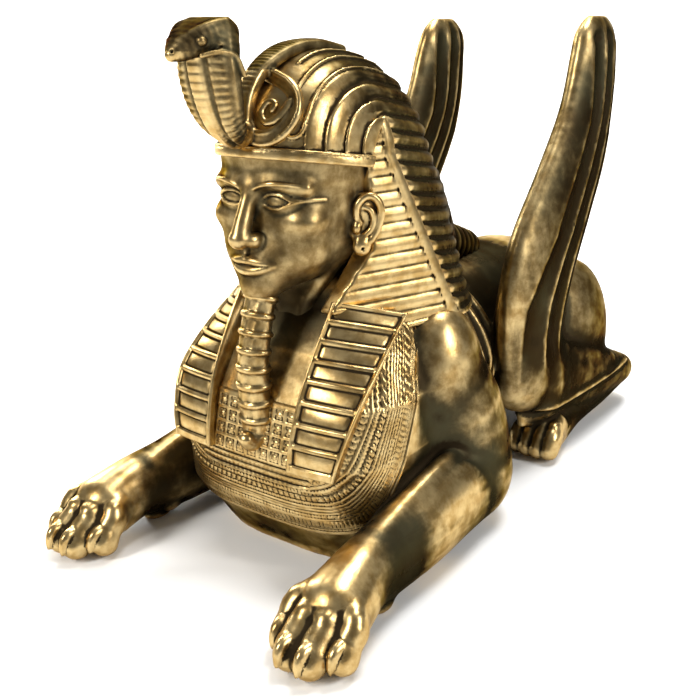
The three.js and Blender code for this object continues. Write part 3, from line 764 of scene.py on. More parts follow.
for side in SIDES:
    low, high = sorted((side * (EYE_X - 22), side * (EYE_X + 22)))
    head.add(eye, (low, 108, EYE_Z - 15), (high, 150, EYE_Z + 15), 2.2)
    # raised lines: the one that lengthens the eye, and the eyebrow
    head.limb(on_skin(head, [
        (EYE_X + 13, EYE_Z + 0.6, 0.2, 1.5, 1.2), (EYE_X + 18, EYE_Z + 1.2, 0.4, 1.6, 1.3),
        (EYE_X + 25, EYE_Z + 1.6, 0.4, 1.6, 1.3), (EYE_X + 31, EYE_Z + 1.4, 0.3, 1.6, 1.3),
    ], side), 1.0, up=(0, 1, 0))
    head.limb(on_skin(head, [
        (8, BROW - 1.5, 0.1, 1.7, 1.3), (16, BROW + 1.8, 0.2, 2.0, 1.5), (26, BROW + 3.6, 0.2, 2.1, 1.5),
        (36, BROW + 3.4, 0.2, 1.9, 1.4), (44, BROW + 2.0, 0.1, 1.6, 1.2), (51, BROW + 0.4, 0, 1.2, 1.0),
    ], side), 1.0, up=(0, 1, 0))

print("eyes", 2 * EYE_HALF, "mm wide and", 2 * (EYE_X - EYE_HALF), "mm apart")

# %% nose
head.limb([
    (0, 117, BROW - 2, 7, 7), (0, 111, BROW - 15, 6.4, 7.5), (0, 103.5, NOSE + 17, 7.2, 8.5),
    (0, 99.5, NOSE + 8, 8.2, 8.5),
], 6, up=(0, 1, 0))
head.egg((0, 100, NOSE + 6), (8.8, 9.5, 7.4), 4)
for side in SIDES:
    head.egg((side * 9.2, 108.5, NOSE + 5.4), (5, 9, 6.4), 4)
    head.egg((side * 5.2, 103, NOSE - 1.4), (2.6, 4.4, 2.4), 1.2, cut=True)
# the hollow under the nose
groove = on_skin(head, [(0, NOSE - 3, -0.2, 2.0, 1.0), (0, NOSE - 9, -0.2, 2.6, 1.0)])
head.limb(groove, 2.4, up=(0, 1, 0), cut=True)
print("nose", round(BROW - NOSE, 1), "mm long")


# %% mouth
def across(rows):
    """Rows from the middle out, repeated on the other side, as one list from right to left."""
    return [(-x, *rest) for x, *rest in reversed(rows[1:])] + rows


upper_lip = on_skin(head, across([
    (0, MOUTH + 3.0, -0.9, 3.4, 3.6), (4.4, MOUTH + 3.6, -0.9, 3.6, 3.8),
    (13, MOUTH + 2.2, -1.0, 3.0, 3.2), (23, MOUTH + 0.2, -1.2, 1.4, 1.6),
]))
lower_lip = on_skin(head, across([
    (0, MOUTH - 5.0, 0.1, 4.4, 4.2), (10, MOUTH - 4.0, -0.2, 3.8, 3.8), (20, MOUTH - 1.6, -1.0, 2.0, 1.8),
]))
head.limb(upper_lip, 3.2, up=(0, 1, 0))
head.limb(lower_lip, 2.6, up=(0, 1, 0))
parting = on_skin(head, across([
    (0, MOUTH + 0.3, -0.4, 0.9, 1.5), (10, MOUTH - 0.2, -0.4, 0.9, 1.3), (21, MOUTH + 0.6, 0, 0.9, 1.0),
]))
head.limb(parting, 1.0, up=(0, 1, 0), cut=True)
# the two cords of the neck, from behind the ear to the pit of the throat
NECK_CORD = [(42, 181, 286, 7, 7), (29, 168, 258, 6, 6), (14, 163, 236, 4.5, 4.5), (8, 166, 216, 3, 3)]
for side in SIDES:
    head.limb(on_side(NECK_CORD, side), 8)
print("mouth", upper_lip[-1][0] - upper_lip[0][0], "mm wide")

# %% ears
EAR = np.array([66.0, 184.0, 314.0])
# the plane of the left ear: out of the head and forward, and back along it
OUT = np.array([0.80, -0.60, 0.0])
ALONG = np.array([0.60, 0.80, 0.0])
EAR_UP = (0.3, 0.2, 0.9)


def ear_rows(side, rows):
    """Rows of back, up, out and thickness in the plane of the ear."""
    out = []
    for back, up, proud, thick in rows:
        p = EAR + ALONG * back + OUT * proud + np.array((0, 0, up))
        out.append((side * p[0], p[1], p[2], thick, thick))
    return out


for side in SIDES:
    turn = np.array([[side * OUT[0], OUT[1], 0], [side * ALONG[0], ALONG[1], 0], [0, 0, 1]])
    centre = EAR * (side, 1, 1)
    head.egg(centre + turn[1] * 1 + (0, 0, 1), (6.5, 15, 24), 4, turn=turn)
    head.egg(centre + turn[1] * 1 + turn[0] * 7, (4.6, 8.5, 14), 2.4, cut=True, turn=turn)
    # the outer rim and the inner one
    head.limb(ear_rows(side, [
        (-4, 0, 5, 2.4), (-8, 6, 5, 2.8), (-7, 16, 5.4, 3.2), (0, 22.5, 6, 3.4), (8, 21, 6.6, 3.5),
        (13, 13, 7, 3.5), (13, 3, 6.6, 3.4), (10, -7, 6, 3.2), (5, -15, 5.4, 3.4),
    ]), 2.0, up=EAR_UP)
    head.limb(ear_rows(side, [
        (0, 13, 5, 2.2), (5, 10, 6, 2.5), (7, 2, 6, 2.6), (4.5, -6, 5.6, 2.5), (-1, -11, 5, 2.3),
    ]), 2.0, up=EAR_UP)
    # the flap in front of the hole, the lobe, and its piercing
    head.egg(centre + turn[1] * -8 + turn[0] * 5 + (0, 0, -4), (4, 3.6, 5), 3, turn=turn)
    head.egg(centre + turn[1] * -3 + turn[0] * 4 + (0, 0, -20), (5.4, 8, 9), 3, turn=turn)
    head.egg(centre + turn[1] * -3.5 + turn[0] * 9.4 + (0, 0, -22), (3, 1.8, 1.8), 0.6, cut=True, turn=turn)
points, faces = surface(head)
print("head surface", len(points))


# %% head mesh
def face_gold_and_shade(p, normal):
    """A warm brown face and bright ears, with painted shade on the neck under the chin."""
    # painted shade on the neck under the chin
    neck = (1 - ramp(p[:, 2], 238, 262)) * (p[:, 1] > 136)
    return 0.48 + 0.38 * ramp(np.abs(p[:, 0]), 63, 68) - 0.4 * neck


make_piece("head", points, faces, face_gold_and_shade)

# %% [markdown]
# ## The headdress
#
# The pharaoh's striped kerchief is pulled over the brow, gathered at the back into a bound queue, and
# stands out on both sides as a flat, stiff wing. Its folds run level round the back and sink towards
# the queue. Over the crown the same folds turn forward and run down to the brow band. So one number,
# the height at which a fold would cross the ridge of the crown, tells which fold any point is on.
#
# Folds could be modelled one by one, or drawn into a bump. A bump leaves the outline smooth, and on
# this headdress the folds show most at the edge. So the folds are subtracted from the distance field.

# %% shape of the cloth
# the crown: where the dome starts, its top, its half width and its reach to the back
DOME_Z, DOME_TOP, DOME_HALF, DOME_BACK = 370.0, 456.0, 77.8, 136.0
# where the side wings start, and the front of the cloth
NAPE_Z, NAPE_Y, FRONT_Y = 402.0, 196.0, 108.0
HEM_Z = 216.0
CLOTH_CELL = 1.35
hood = Clay((-126, 92, 206), (126, 504, 466), CLOTH_CELL)
# heights, and how far back the cloth reaches at each
HOOD_Z = [215, 268, 307, 359, 370]
HOOD_BACK = [108, 124, 133, 136, DOME_BACK]
FLARE, LEAN = 0.243, 0.362  # how fast the cloth widens, and moves back, towards the hem
# the front face of a side wing: the way it looks, and its highest point
WING_OUT = np.array([0.885, -0.464, 0.047])
WING_APEX = np.array([70.0, 196.0, 402.0])


def hood_section(z):
    """Half width, middle, reach to the back and reach to the front of the cloth at a height."""
    dome = np.sqrt(np.clip(1 - (np.maximum(z - DOME_Z, 0) / (DOME_TOP - DOME_Z)) ** 2, 5e-4, 1))
    drop = NAPE_Z - z
    half = np.where(z > DOME_Z, DOME_HALF * dome, WING_APEX[0] + FLARE * drop)
    middle = NAPE_Y + LEAN * np.maximum(drop, 0)
    back = np.where(z > DOME_Z, DOME_BACK * dome, np.interp(z, HOOD_Z, HOOD_BACK))
    return half, middle, back, (middle - FRONT_Y) * dome


def wing_plane(ax, y, z):
    """How far a point lies in front of the flat face of a side wing."""
    return (WING_OUT[0] * (ax - WING_APEX[0]) + WING_OUT[1] * (y - WING_APEX[1])
            + WING_OUT[2] * (z - WING_APEX[2]))


print("side wings from", NAPE_Z, "down to", HEM_Z, "mm, crown at", DOME_TOP, "mm")

# %% folds
# brow band: its lower edge in front, its height, and how far it sinks for each millimetre back
BAND_Z, BAND_HEIGHT, BAND_SINK = 372.0, 10.0, 0.15
# height and slope of the folds round the back, and height of the pleats on the side wings
FOLD_PITCH, FOLD_DIP, PLEAT_PITCH = 13.0, 0.17, 13.5


def fold_height(x, y, z):
    """The height that tells which fold a point is on: over the crown in front, level behind."""
    over = DOME_Z + (DOME_TOP - DOME_Z) * np.sqrt(np.clip(1 - (x / DOME_HALF) ** 2, 0, 1))
    behind = ramp(y, 188, 212)
    in_front = np.where(z > BAND_Z - 10, over, z)
    return in_front * (1 - behind) + (z + FOLD_DIP * (y - 200)) * behind


def fold_relief(height):
    """A deep rounded groove between broad folds, with a shallow line along each fold."""
    t = ((DOME_TOP - height) / FOLD_PITCH) % 1.0
    groove = (0.5 + 0.5 * np.cos(2 * np.pi * t)) ** 2.5
    line = (0.5 + 0.5 * np.cos(2 * np.pi * (t - 0.68))) ** 9
    return -3.0 * groove - 0.7 * line


def pleat_relief(y, z):
    """The same folds, shallower and nearly level, on the side wings."""
    return 0.45 * fold_relief(DOME_TOP - FOLD_PITCH / PLEAT_PITCH * (z - 0.05 * (y - 200)))


print("folds", FOLD_PITCH, "mm high round the back, pleats", PLEAT_PITCH, "mm on the side wings")

# %% cloth
CROWN_STRIP = 47.0  # half width of the bare crown that the snake and the hairpin strips lie on
RIM = 1.9  # radius of the cord along the edge of a side wing
# y of the edge beside the cheek and the neck at some heights, and its x behind the neck
INNER_Z, INNER_Y = [216, 240, 256, 290], [150, 152, 165, 190]
THROAT_Z, THROAT_X = [216, 290], [34, 50]
# height of the hem at some y
HEM_Y, HEM_AT = [162, 217, 252], [236, 213.5, HEM_Z]


def cloth(x, y, z):
    """The kerchief: a pleated shell with two flat side wings, open for the face, and its brow band."""
    ax = np.abs(x)
    half, middle, back, front = hood_section(z)
    q = np.sqrt((x / half) ** 2 + ((y - middle) / np.where(y > middle, back, front)) ** 2)
    d = np.maximum(distance(q, CLOTH_CELL), z - DOME_TOP)
    crown = (ax < CROWN_STRIP) & (y < 245) & (z > 380)
    relief = np.where(crown, -1.0, fold_relief(fold_height(x, y, z)))
    form = d - relief * ramp(z, HEM_Z + 4, HEM_Z + 16)
    # the flat, pleated front of each side wing, with a cord along its edge
    plane = wing_plane(ax, y, z)
    sink = BAND_SINK * (y - FRONT_Y)
    slant = y - 206 + 0.6 * (NAPE_Z - z)
    beside = np.maximum(BAND_Z - sink - z, slant)
    flat = meet(form, np.minimum(plane - pleat_relief(y, z), beside), 1.2)
    form = np.where(z < NAPE_Z + 3, flat, form)
    rim = np.hypot(d + 0.8, np.where(beside > 0, plane, 9) + 0.8) - RIM
    form = np.where((z < NAPE_Z) & (z > HEM_Z), melt(form, rim, 0.8), form)
    # open for the face and the throat
    throat = 45 * (1 - ramp(ax - np.interp(z, THROAT_Z, THROAT_X), -5, 4))
    face = np.minimum(BAND_Z - sink - z, np.interp(z, INNER_Z, INNER_Y) + throat - y)
    form = meet(form, face, 2)
    # cut off at the hem, with a turned edge
    hem = np.interp(y, HEM_Y, HEM_AT)
    form = meet(form, hem - z, 2)
    edge = meet(meet(meet(d - 1.2, plane - 1.0, 1), np.abs(z - hem - 3) - 2.6, 1.2), face, 1)
    form = melt(form, edge, 0.5)
    # brow band, with a line near its upper edge
    band = meet(d - 2.8, np.abs(z + sink - BAND_Z - BAND_HEIGHT / 2) - BAND_HEIGHT / 2, 1.6)
    band = meet(band, slant, 1)
    line = np.hypot(d - 2.8, z + sink - BAND_Z - 7.6) - 0.9
    band = meet(band, -line, 0.4)
    return melt(form, band, 0.5).astype(f4)


hood.add(cloth, (-120, 100, 210), (120, 400, 462), 0)
print("grid of the headdress:", hood.d.shape)


# %% hairpin strips
CORD = 1.8  # radius of the raised lines on the crown


def hood_front(x, z):
    """The y of the smooth cloth in front, at some x and height."""
    half, middle, _, front = hood_section(np.float64(z))
    return float(middle - front * math.sqrt(max(1 - (x / half) ** 2, 0)))


def over_crown(x, first, last):
    """A line at one x from the front of the crown over its top."""
    rows = []
    for y in np.linspace(first, last, 12):
        reach = DOME_BACK if y > NAPE_Y else NAPE_Y - FRONT_Y
        lift = math.sqrt(max(1 - (x / DOME_HALF) ** 2 - ((y - NAPE_Y) / reach) ** 2, 0))
        rows.append((x, y, DOME_Z + (DOME_TOP - DOME_Z) * lift, CORD, CORD))
    return rows


# a hairpin strip beside the cobra, its round end just above the band, and a fold inside it
HAIRPIN_END = [(33, 399), (33, 396), (35, 391), (39.5, 388.5), (44, 391), (46, 396), (46, 399)]
CROWN_LINES = [(33, 121.5), (46, 131), (20, 158)]  # x and first y
for side in SIDES:
    rows = [(x, hood_front(x, z) + 0.2, z, CORD, CORD) for x, z in HAIRPIN_END]
    hood.limb(on_side(rows, side), 0.8, up=(0, 1, 0))
    for x, first in CROWN_LINES:
        hood.limb(on_side(over_crown(x, first, 250), side), 0.8, steps=2, up=(1, 0, 0))
print("cloth over the brow at y", round(hood_front(0, BAND_Z), 1), "mm")


# %% queue
def binding(c, s, run):
    """Turns of cord round the queue."""
    return 1.8 * np.abs(np.sin(np.pi * run / 13.5)) - 1.6


hood.limb([(0, 320, 300, 58, 60), (0, 370, 266, 42, 42), (0, 398, 250, 27, 27)], 14)
hood.limb([(0, 392, 252, 27, 27), (0, 436, 240, 24, 24), (0, 478, 231, 18, 18)], 4, relief=binding)
hood.egg((0, 486, 229), (13, 12, 13), 4)
points, faces = surface(hood)
print("headdress surface", len(points))


# %% headdress mesh
def hood_gold(p, normal):
    """Bright in front and on the side wings, dark round the back."""
    x, y, z = np.abs(p[:, 0]), p[:, 1], p[:, 2]
    side_wing = ramp(wing_plane(x, y, z), -9, -5) * (z < NAPE_Z + 2)
    crown = ramp(-y, -205, -130)
    return np.clip(0.08 + 0.8 * np.maximum(side_wing, crown), 0, 0.85)


make_piece("headdress", points, faces, hood_gold)

# %% [markdown]
# ## The cobra
#
# The royal cobra rears with its hood spread. Belly scales run across the hood in ribs, a raised column
# runs up its middle, and the body lies in a loop to each side and then straight back over the crown.
# A swept tube with a bevelled curve would do for the loops alone. Limbs of clay do it for all of the
# snake, since each can have a boxy section and its own relief, and they melt where they meet.

# %% ribs and ribbons
SNAKE_CELL = 0.85
snake = Clay((-56, 26, 372), (56, 252, 482), SNAKE_CELL)


def belly(c, s, run):
    """Ribs on the front of the spread hood, with a column down the middle."""
    front = ramp(-s, 0.1, 0.5)
    column = 1 - ramp(np.abs(c), 0.2, 0.34)
    side = ramp(np.abs(c), 0.4, 0.5) * (1 - ramp(np.abs(c), 0.82, 0.92))
    ribs = np.abs(np.cos(np.pi * run / 5.4))
    return front * (column * (2.2 + 1.2 * ribs) + side * (0.2 + 1.2 * ribs) - 1.6)


def ribbon(c, s, run):
    """Raised edges and a sunk middle on the flattened body."""
    return -0.9 * (1 - ramp(np.abs(c), 0.35, 0.6))


def back_scales(c, s, run):
    """Cross lines on the flat top of the snake's back."""
    return 0.3 * np.cos(2 * np.pi * run / 4.2) * (1 - ramp(np.abs(c), 0.6, 0.8))


print("grid of the cobra:", snake.d.shape)

# %% rearing hood and head
snake.limb([
    (0, 114, 392, 13, 10), (0, 99, 392, 15, 10), (0, 86, 402, 22, 11), (0, 79, 416, 27.5, 12),
    (0, 75, 432, 29.5, 13), (0, 74, 447, 28.5, 15), (0, 76, 460, 26, 17), (0, 78, 469, 22, 16),
], 1.5, up=(0, 1, 0), relief=belly, square=2.5)
snake.limb([
    (0, 86, 467, 20, 12), (0, 72, 468.5, 22, 12.5), (0, 59, 464.5, 18, 12), (0, 47, 458.5, 12, 9.5),
    (0, 37, 453.5, 5, 4.8),
], 2.0, square=2.6)
BROW_EDGE = [(3, 42, 463, 2, 2), (11, 52, 470, 2.4, 2.2), (16, 63, 475, 2.4, 2.2), (17, 78, 477, 2, 2)]
MOUTH_LINE = [
    (2, 32, 450.5, 1, 1), (10, 40, 452, 1.2, 1.2), (18.5, 54, 455.5, 1.2, 1.2), (22, 68, 459, 1.2, 1.2),
]
JAW_EDGE = [(16, 52, 453, 2, 2), (22, 64, 455, 2.2, 2.2), (27, 76, 452, 2.2, 2.2), (30, 82, 438, 2, 2)]
for side in SIDES:
    snake.limb(on_side(BROW_EDGE, side), 2.0)
    # eye and nostril
    snake.egg((side * 15.6, 53, 463), (3.8, 4.4, 3.6), 0.6)
    snake.egg((side * 3.2, 34.5, 456), (1.2, 1.6, 1.2), 0.4, cut=True)
    snake.limb(on_side(MOUTH_LINE, side), 0.6, cut=True)
    snake.limb(on_side(JAW_EDGE, side), 1.5)

print("cobra's snout at y", 37 - 4.8, "mm")

# %% loops and tail of the cobra
# x and height of the loop beside the hood: out along the band, up and in to the middle
LOOP = [(6, 391), (16, 388), (27, 390), (35, 398), (38, 409), (34, 420), (25, 428), (13, 433), (3, 436)]
CURL = [(33, 416), (28, 404), (19, 400), (13, 408), (17, 416), (23, 414), (22, 409)]  # inside the loop
for side in SIDES:
    rows = [(x, hood_front(x, z) - 0.5, z, 7.0, 4.2) for x, z in LOOP]
    snake.limb(on_side(rows, side), 1.0, up=(0, 1, 0), square=2.8, relief=ribbon)
    rows = [(x, hood_front(x, z) - 0.5, z, 3.6 - 0.2 * i, 3.2) for i, (x, z) in enumerate(CURL)]
    snake.limb(on_side(rows, side), 0.8, up=(0, 1, 0))
# straight back over the crown
snake.limb([
    (0, 110, 396, 8, 6), (0, 115, 418, 8, 6), (0, 128, 436, 9, 6), (0, 146, 447, 11, 6),
    (0, 164, 453.5, 12, 6), (0, 184, 456.5, 12, 6), (0, 206, 456.5, 12, 6), (0, 234, 451.5, 12, 6),
], 3, square=3.4, relief=back_scales)
snake.flats()
points, faces = surface(snake)
print("cobra surface", len(points))


# %% cobra mesh
def snake_gold_and_highlight(p, normal):
    """Gold belly and loops and a dark back; the belly is rubbed gold and brighter where it faces forward and
    along its column, a painted highlight, with painted shade on its side edges.
    """
    x, y, z = np.abs(p[:, 0]), p[:, 1], p[:, 2]
    column = 1 - ramp(x, 6, 9)
    # rubbed gold belly, with a painted highlight where it faces forward and on its column, and painted shade
    # on its side edges
    belly_gold_and_highlight = ramp(-normal[:, 1], 0.2, 0.6) * (z < 456) * (y < 100) * (0.4 + 0.75 * column)
    loops = (y > 96) * (z < 440)
    return 0.2 + 0.7 * np.maximum(belly_gold_and_highlight, 0.65 * loops)


make_piece("cobra", points, faces, snake_gold_and_highlight)

# %% [markdown]
# ## Collar, lappets and beard
#
# The broad collar was strung from rows of tube beads between bands, with drops along its lower edge.
# In the casting it is a thin raised skin on the breast. Its lower edge is a curve seen from the side,
# so the distance from that curve says which row of beads a point is in. The two lappets of the
# headdress lie on top of it, with sunk panels like the folds they stand for.
#
# Beads could be thousands of small spheres, and clay for them would need a very fine grid. A skin is
# lighter: a grid of points on the breast, each pushed out by its relief, with a plain back and a wall
# round it, so that it is still a closed solid.

# %% thin skins
def skin_mesh(grid, relief, back):
    """A closed skin from a grid of points: relief on its face, plain at its back."""
    du = np.gradient(grid, axis=0)
    dv = np.gradient(grid, axis=1)
    normal = np.cross(du, dv)
    normal /= np.maximum(np.linalg.norm(normal, axis=2), 1e-9)[:, :, None]
    n, m = grid.shape[:2]
    front_points = grid + normal * relief[:, :, None]
    back_points = grid - normal * back
    points = np.vstack([front_points.reshape(-1, 3), back_points.reshape(-1, 3)])
    i, j = np.meshgrid(np.arange(n - 1), np.arange(m - 1), indexing="ij")
    a = (i * m + j).ravel()
    face = np.stack([a, a + m, a + m + 1, a + 1], 1)
    rim = np.concatenate([np.arange(m - 1), np.arange(n - 1) * m + m - 1,
                          np.arange(m - 1, 0, -1) + (n - 1) * m, np.arange(n - 1, 0, -1) * m])
    nxt = np.roll(rim, -1)
    wall = np.stack([rim, nxt, nxt + n * m, rim + n * m], 1)
    return points, np.vstack([face, face[:, ::-1] + n * m, wall])


# %% rows of ornament
def along_line(line, y, z):
    """Distance in from a line seen from the side, and the way run along it."""
    line = np.array(line, float)
    best = np.full(y.shape, 1e9)
    signed, run_at = np.zeros(y.shape), np.zeros(y.shape)
    run = 0.0
    for a, b in zip(line[:-1], line[1:]):
        step = b - a
        length = np.hypot(*step)
        t = np.clip(((y - a[0]) * step[0] + (z - a[1]) * step[1]) / length ** 2, 0, 1)
        dy, dz = y - a[0] - t * step[0], z - a[1] - t * step[1]
        gap = np.hypot(dy, dz)
        side = np.sign(step[0] * dz - step[1] * dy)
        near = gap < best
        best = np.where(near, gap, best)
        signed = np.where(near, gap * side, signed)
        run_at = np.where(near, run + t * length, run_at)
        run += length
    return signed, run_at


def beads(across, along, size):
    """Round beads of a size in a row."""
    u = (along / size) % 1.0 - 0.5
    v = across / size
    return np.sqrt(np.clip(0.25 - u * u - v * v, 0, 1)) * 2


def band(w, low, high, edge=0.6):
    """1 between two distances, 0 outside, with soft edges."""
    return ramp(w, low - edge, low) * (1 - ramp(w, high, high + edge))


print("a bead stands", float(beads(0.0, 0.5, 1.0)), "of its row's height")

# %% collar on the breast
# y and height of the lower edge, from the middle of the breast to the neck
COLLAR_LINE = [
    (80, 38), (112, 42), (128, 48), (142, 58), (152, 72), (166, 97), (181, 128), (203, 175), (232, 219),
]
COLLAR_TOP = 246.0
COLUMNS, ROWS = ((420, 190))


def chest_point(angle, z):
    """A point on the breast, at an angle round its level section."""
    a = np.interp(z, CHEST_Z, CHEST_WIDTH)
    b = np.interp(z, CHEST_Z, CHEST_DEPTH)
    middle = np.interp(z, CHEST_Z, CHEST_MIDDLE)
    c, s = np.cos(angle), np.sin(angle)
    power = 2 / CHEST_SQUARE
    x = a * np.sign(c) * np.abs(c) ** power
    y = middle + b * np.sign(s) * np.abs(s) ** power
    return np.stack(np.broadcast_arrays(x, y, z), -1)


def collar_grid():
    """Columns spread evenly across the breast, each from the collar's lower edge to the neck."""
    line = np.array(COLLAR_LINE, float)
    fine = np.linspace(-math.pi / 2, math.radians(28), 4001)
    ring = chest_point(fine, np.full(fine.shape, 130.0))
    run = np.concatenate([[0], np.cumsum(np.linalg.norm(np.diff(ring, axis=0), axis=1))])
    angle = np.interp(np.linspace(0, 1, COLUMNS // 2 + 1), run / run[-1], fine)
    heights = np.linspace(20, COLLAR_TOP, 700)
    p = chest_point(angle[:, None], heights[None, :])
    above = p[:, :, 2] >= np.interp(p[:, :, 1], line[:, 0], line[:, 1])
    start = heights[np.argmax(above, axis=1)]
    start = np.where(above.any(axis=1), start, COLLAR_TOP - 2)
    start = np.convolve(np.pad(start, 4, mode="edge"), np.ones(9) / 9, "valid")
    start = np.minimum(start, COLLAR_TOP - 2)
    v = np.linspace(0, 1, ROWS)
    z = start[:, None] + (COLLAR_TOP - start[:, None]) * v[None, :]
    half = chest_point(angle[:, None], z)
    other = half[:0:-1] * np.array([-1, 1, 1])
    return np.concatenate([other, half])


grid = collar_grid()
print("collar of", grid.shape[0], "columns and", grid.shape[1], "rows")

# %% collar's ornament
# distances from the lower edge: plain cords as from, to and height
CORDS = [(8.4, 9.4, 0.9), (18.2, 19.2, 0.9), (24.4, 25.4, 0.9), (27.2, 28.4, 0.8), (30.0, 31.2, 0.8),
         (47.6, 48.8, 0.9)]
# rows of round beads as from, to, middle, size and height
BEAD_ROWS = [(3.4, 7.6, 5.4, 4.2, 1.1), (20.0, 23.6, 21.8, 3.8, 1.1), (32.4, 35.6, 34.0, 3.2, 1.0),
             (42.6, 46.4, 44.5, 4.0, 1.0)]
PANEL_LOW, PANEL_HIGH, PANEL_OUT = 107, 157, 46  # the beaded panels between the lappets
TUBE, LOZENGE = 6.2, 7.0


def border(w, s):
    """The bands that follow the lower edge, where w is the distance from it and s runs along it."""
    r = 1.8 * band(w, 0.3, 2.6)
    for low, high, proud in CORDS:
        r += proud * band(w, low, high)
    for low, high, middle, size, proud in BEAD_ROWS:
        r += proud * beads(w - middle, s, size) * band(w, low, high, 0.3)
    drop = ((s / 4.8) % 1.0) - 0.5
    r += band(w, 10.4, 17.0) * (1.4 * np.sqrt(np.clip(0.2 - drop ** 2, 0, 1)) * 2)
    r += 1.6 * band(w, 37.0, 40.5) * (0.6 + 0.4 * np.cos(2 * np.pi * s / 6.4))
    return r


def tubes(x, z):
    """Level rows of tube beads."""
    row = ramp((z / TUBE) % 1.0, 0.1, 0.3) * (1 - ramp((z / TUBE) % 1.0, 0.7, 0.9))
    return 1.1 * row * (0.75 + 0.25 * np.cos(2 * np.pi * x / 5.2))


def panels(x, z):
    """Small framed squares, each with a round bud in six petals."""
    across_cell = ((np.abs(x) - 20) / 13.0) % 1.0 - 0.5
    up_cell = ((z - PANEL_LOW) / 12.5) % 1.0 - 0.5
    inside = (1 - ramp(np.abs(across_cell), 0.36, 0.44)) * (1 - ramp(np.abs(up_cell), 0.36, 0.44))
    out = np.hypot(across_cell, up_cell)
    bud = 1.1 * (1 - ramp(out, 0.1, 0.2))
    petals = 0.5 + 0.5 * np.cos(6 * np.arctan2(up_cell, across_cell))
    flower = 0.8 * ramp(out, 0.2, 0.26) * (1 - ramp(out, 0.3, 0.34)) * petals
    return 0.9 * (1 - inside) + bud + flower


def collar_relief(p):
    """How far the collar stands proud at each point of its grid."""
    x, y, z = p[..., 0], p[..., 1], p[..., 2]
    w, run = along_line(COLLAR_LINE, y, z)
    s = np.abs(x) + run
    r = border(w, s)
    # lozenges on the sides
    lozenge = np.abs(((s / LOZENGE) % 1.0) - 0.5) + np.abs((((w - 50) / LOZENGE) % 1.0) - 0.5)
    outer = ramp(w, 49.5, 50.5) * (np.abs(x) >= 62)
    r += outer * (0.9 * (1 - ramp(lozenge, 0.3, 0.42)) + 0.5 * ramp(lozenge, 0.5, 0.6))
    # between the lappets: tube beads below, then panels, then the bare, sunk throat
    inner = ramp(w, 41.5, 42.5) * (np.abs(x) < 62)
    r += inner * (z < PANEL_LOW) * tubes(x, z)
    r += inner * (z >= PANEL_LOW) * (z < PANEL_HIGH) * (np.abs(x) < PANEL_OUT) * panels(x, z)
    sunk = 5 * (np.abs(x) < 52) * ramp(z, PANEL_HIGH, PANEL_HIGH + 9)
    return (r + 1.9) * ramp(COLLAR_TOP - z, 0, 10) - sunk


points, faces = skin_mesh(grid, collar_relief(grid), 3.0)
print("collar surface", len(points))


# %% collar mesh
def collar_gold_and_shade(p, normal):
    """Bright beadwork, with painted shade on the bare throat under the chin between the lappets."""
    # painted shade on the bare throat under the chin, between the lappets
    throat = (1 - ramp(np.abs(p[:, 0]), 44, 52)) * ramp(p[:, 2], 154, 162)
    return 0.78 - 0.5 * throat


make_piece("collar", points, faces, collar_gold_and_shade)

# %% lappets
# x, y and height of the inner and the outer edge, from the lower end up
LAPPET_INNER = [(45, 98, 107), (46, 101, 130), (48, 112, 168), (49, 132, 205), (50, 158, 246)]
LAPPET_OUTER = [(92, 103, 107), (97, 107, 130), (103, 124, 165), (102, 160, 197), (96, 208, 230)]
BARS = 8


def bright(level):
    """One tone all over."""
    return lambda p, normal: np.full(len(p), level)


def lappet(side):
    """A thick strip that bulges forward, with sunk panels between its rims."""
    steps = 30
    inner, outer = curve_through(LAPPET_INNER, steps), curve_through(LAPPET_OUTER, steps)
    s = np.linspace(0, 1, 56)
    out = np.array([0.45, -0.85, 0.28])
    grid = inner[:, None] * (1 - s)[None, :, None] + outer[:, None] * s[None, :, None]
    grid = grid + out * (1.5 + 12 * s * (1 - s))[None, :, None]
    steps_down = np.linalg.norm(np.diff(grid[:, len(s) // 2], axis=0), axis=1)
    length = np.concatenate([[0], np.cumsum(steps_down)])
    width = np.linalg.norm(outer - inner, axis=1)
    across = s[None, :] * width[:, None]
    from_edge = np.minimum(across, width[:, None] - across)
    t = (length[:, None] - 4.5) / (length[-1] - 4.5) * BARS
    bar = t - np.floor(t)
    # each panel is sunk between the rims, with a round-cornered lower end and a sharp upper edge
    corner = np.hypot(np.maximum(7 - from_edge, 0) / 4.0, np.maximum(0.26 - bar, 0) / 0.16)
    sunk = (1 - ramp(corner, 0.75, 1.0)) * ramp(from_edge, 3.0, 4.0)
    sunk = sunk * (1 - ramp(bar, 0.88, 0.92)) * ramp(bar, 0.06, 0.12) * (t > 0)
    swell = 0.9 * np.sin(np.pi * np.clip(bar, 0, 1)) * ramp(from_edge, 4, 9)
    rim = 0.9 * band(from_edge, 0.6, 2.6, 0.5)
    relief = 3.0 + rim - 3.0 * sunk + swell * sunk
    relief = relief * ramp(from_edge, -0.2, 0.5)
    if side > 0:
        return skin_mesh(grid[:, ::-1], relief[:, ::-1], 12.0)
    return skin_mesh(grid * np.array([-1, 1, 1]), relief, 12.0)


for side, word in ((1, "left"), (-1, "right")):
    points, faces = lappet(side)
    make_piece("lappet_" + word, points, faces, bright(0.86))

# %% beard
BEARD_CELL = 0.85
beard = Clay((-26, 84, 108), (26, 150, 268), BEARD_CELL)
RING = 15.5  # from one binding to the next


def plait(c, s, run):
    """Bound rings with a braid of three strands between them."""
    t = ((run - 6) / RING) % 1.0
    ring = ramp(t, 0.66, 0.72) * (1 - ramp(t, 0.94, 1.0))
    split = ramp(t, 0.80, 0.83) * (1 - ramp(t, 0.83, 0.86))
    braid = 0.35 * np.cos(2 * np.pi * (c * 1.6 + 0.5 * np.abs(((run / RING) % 1.0) - 0.5)))
    return 1.7 * ring - 0.9 * split + (1 - ring) * (braid - 0.5) * ramp(run, 4, 8)


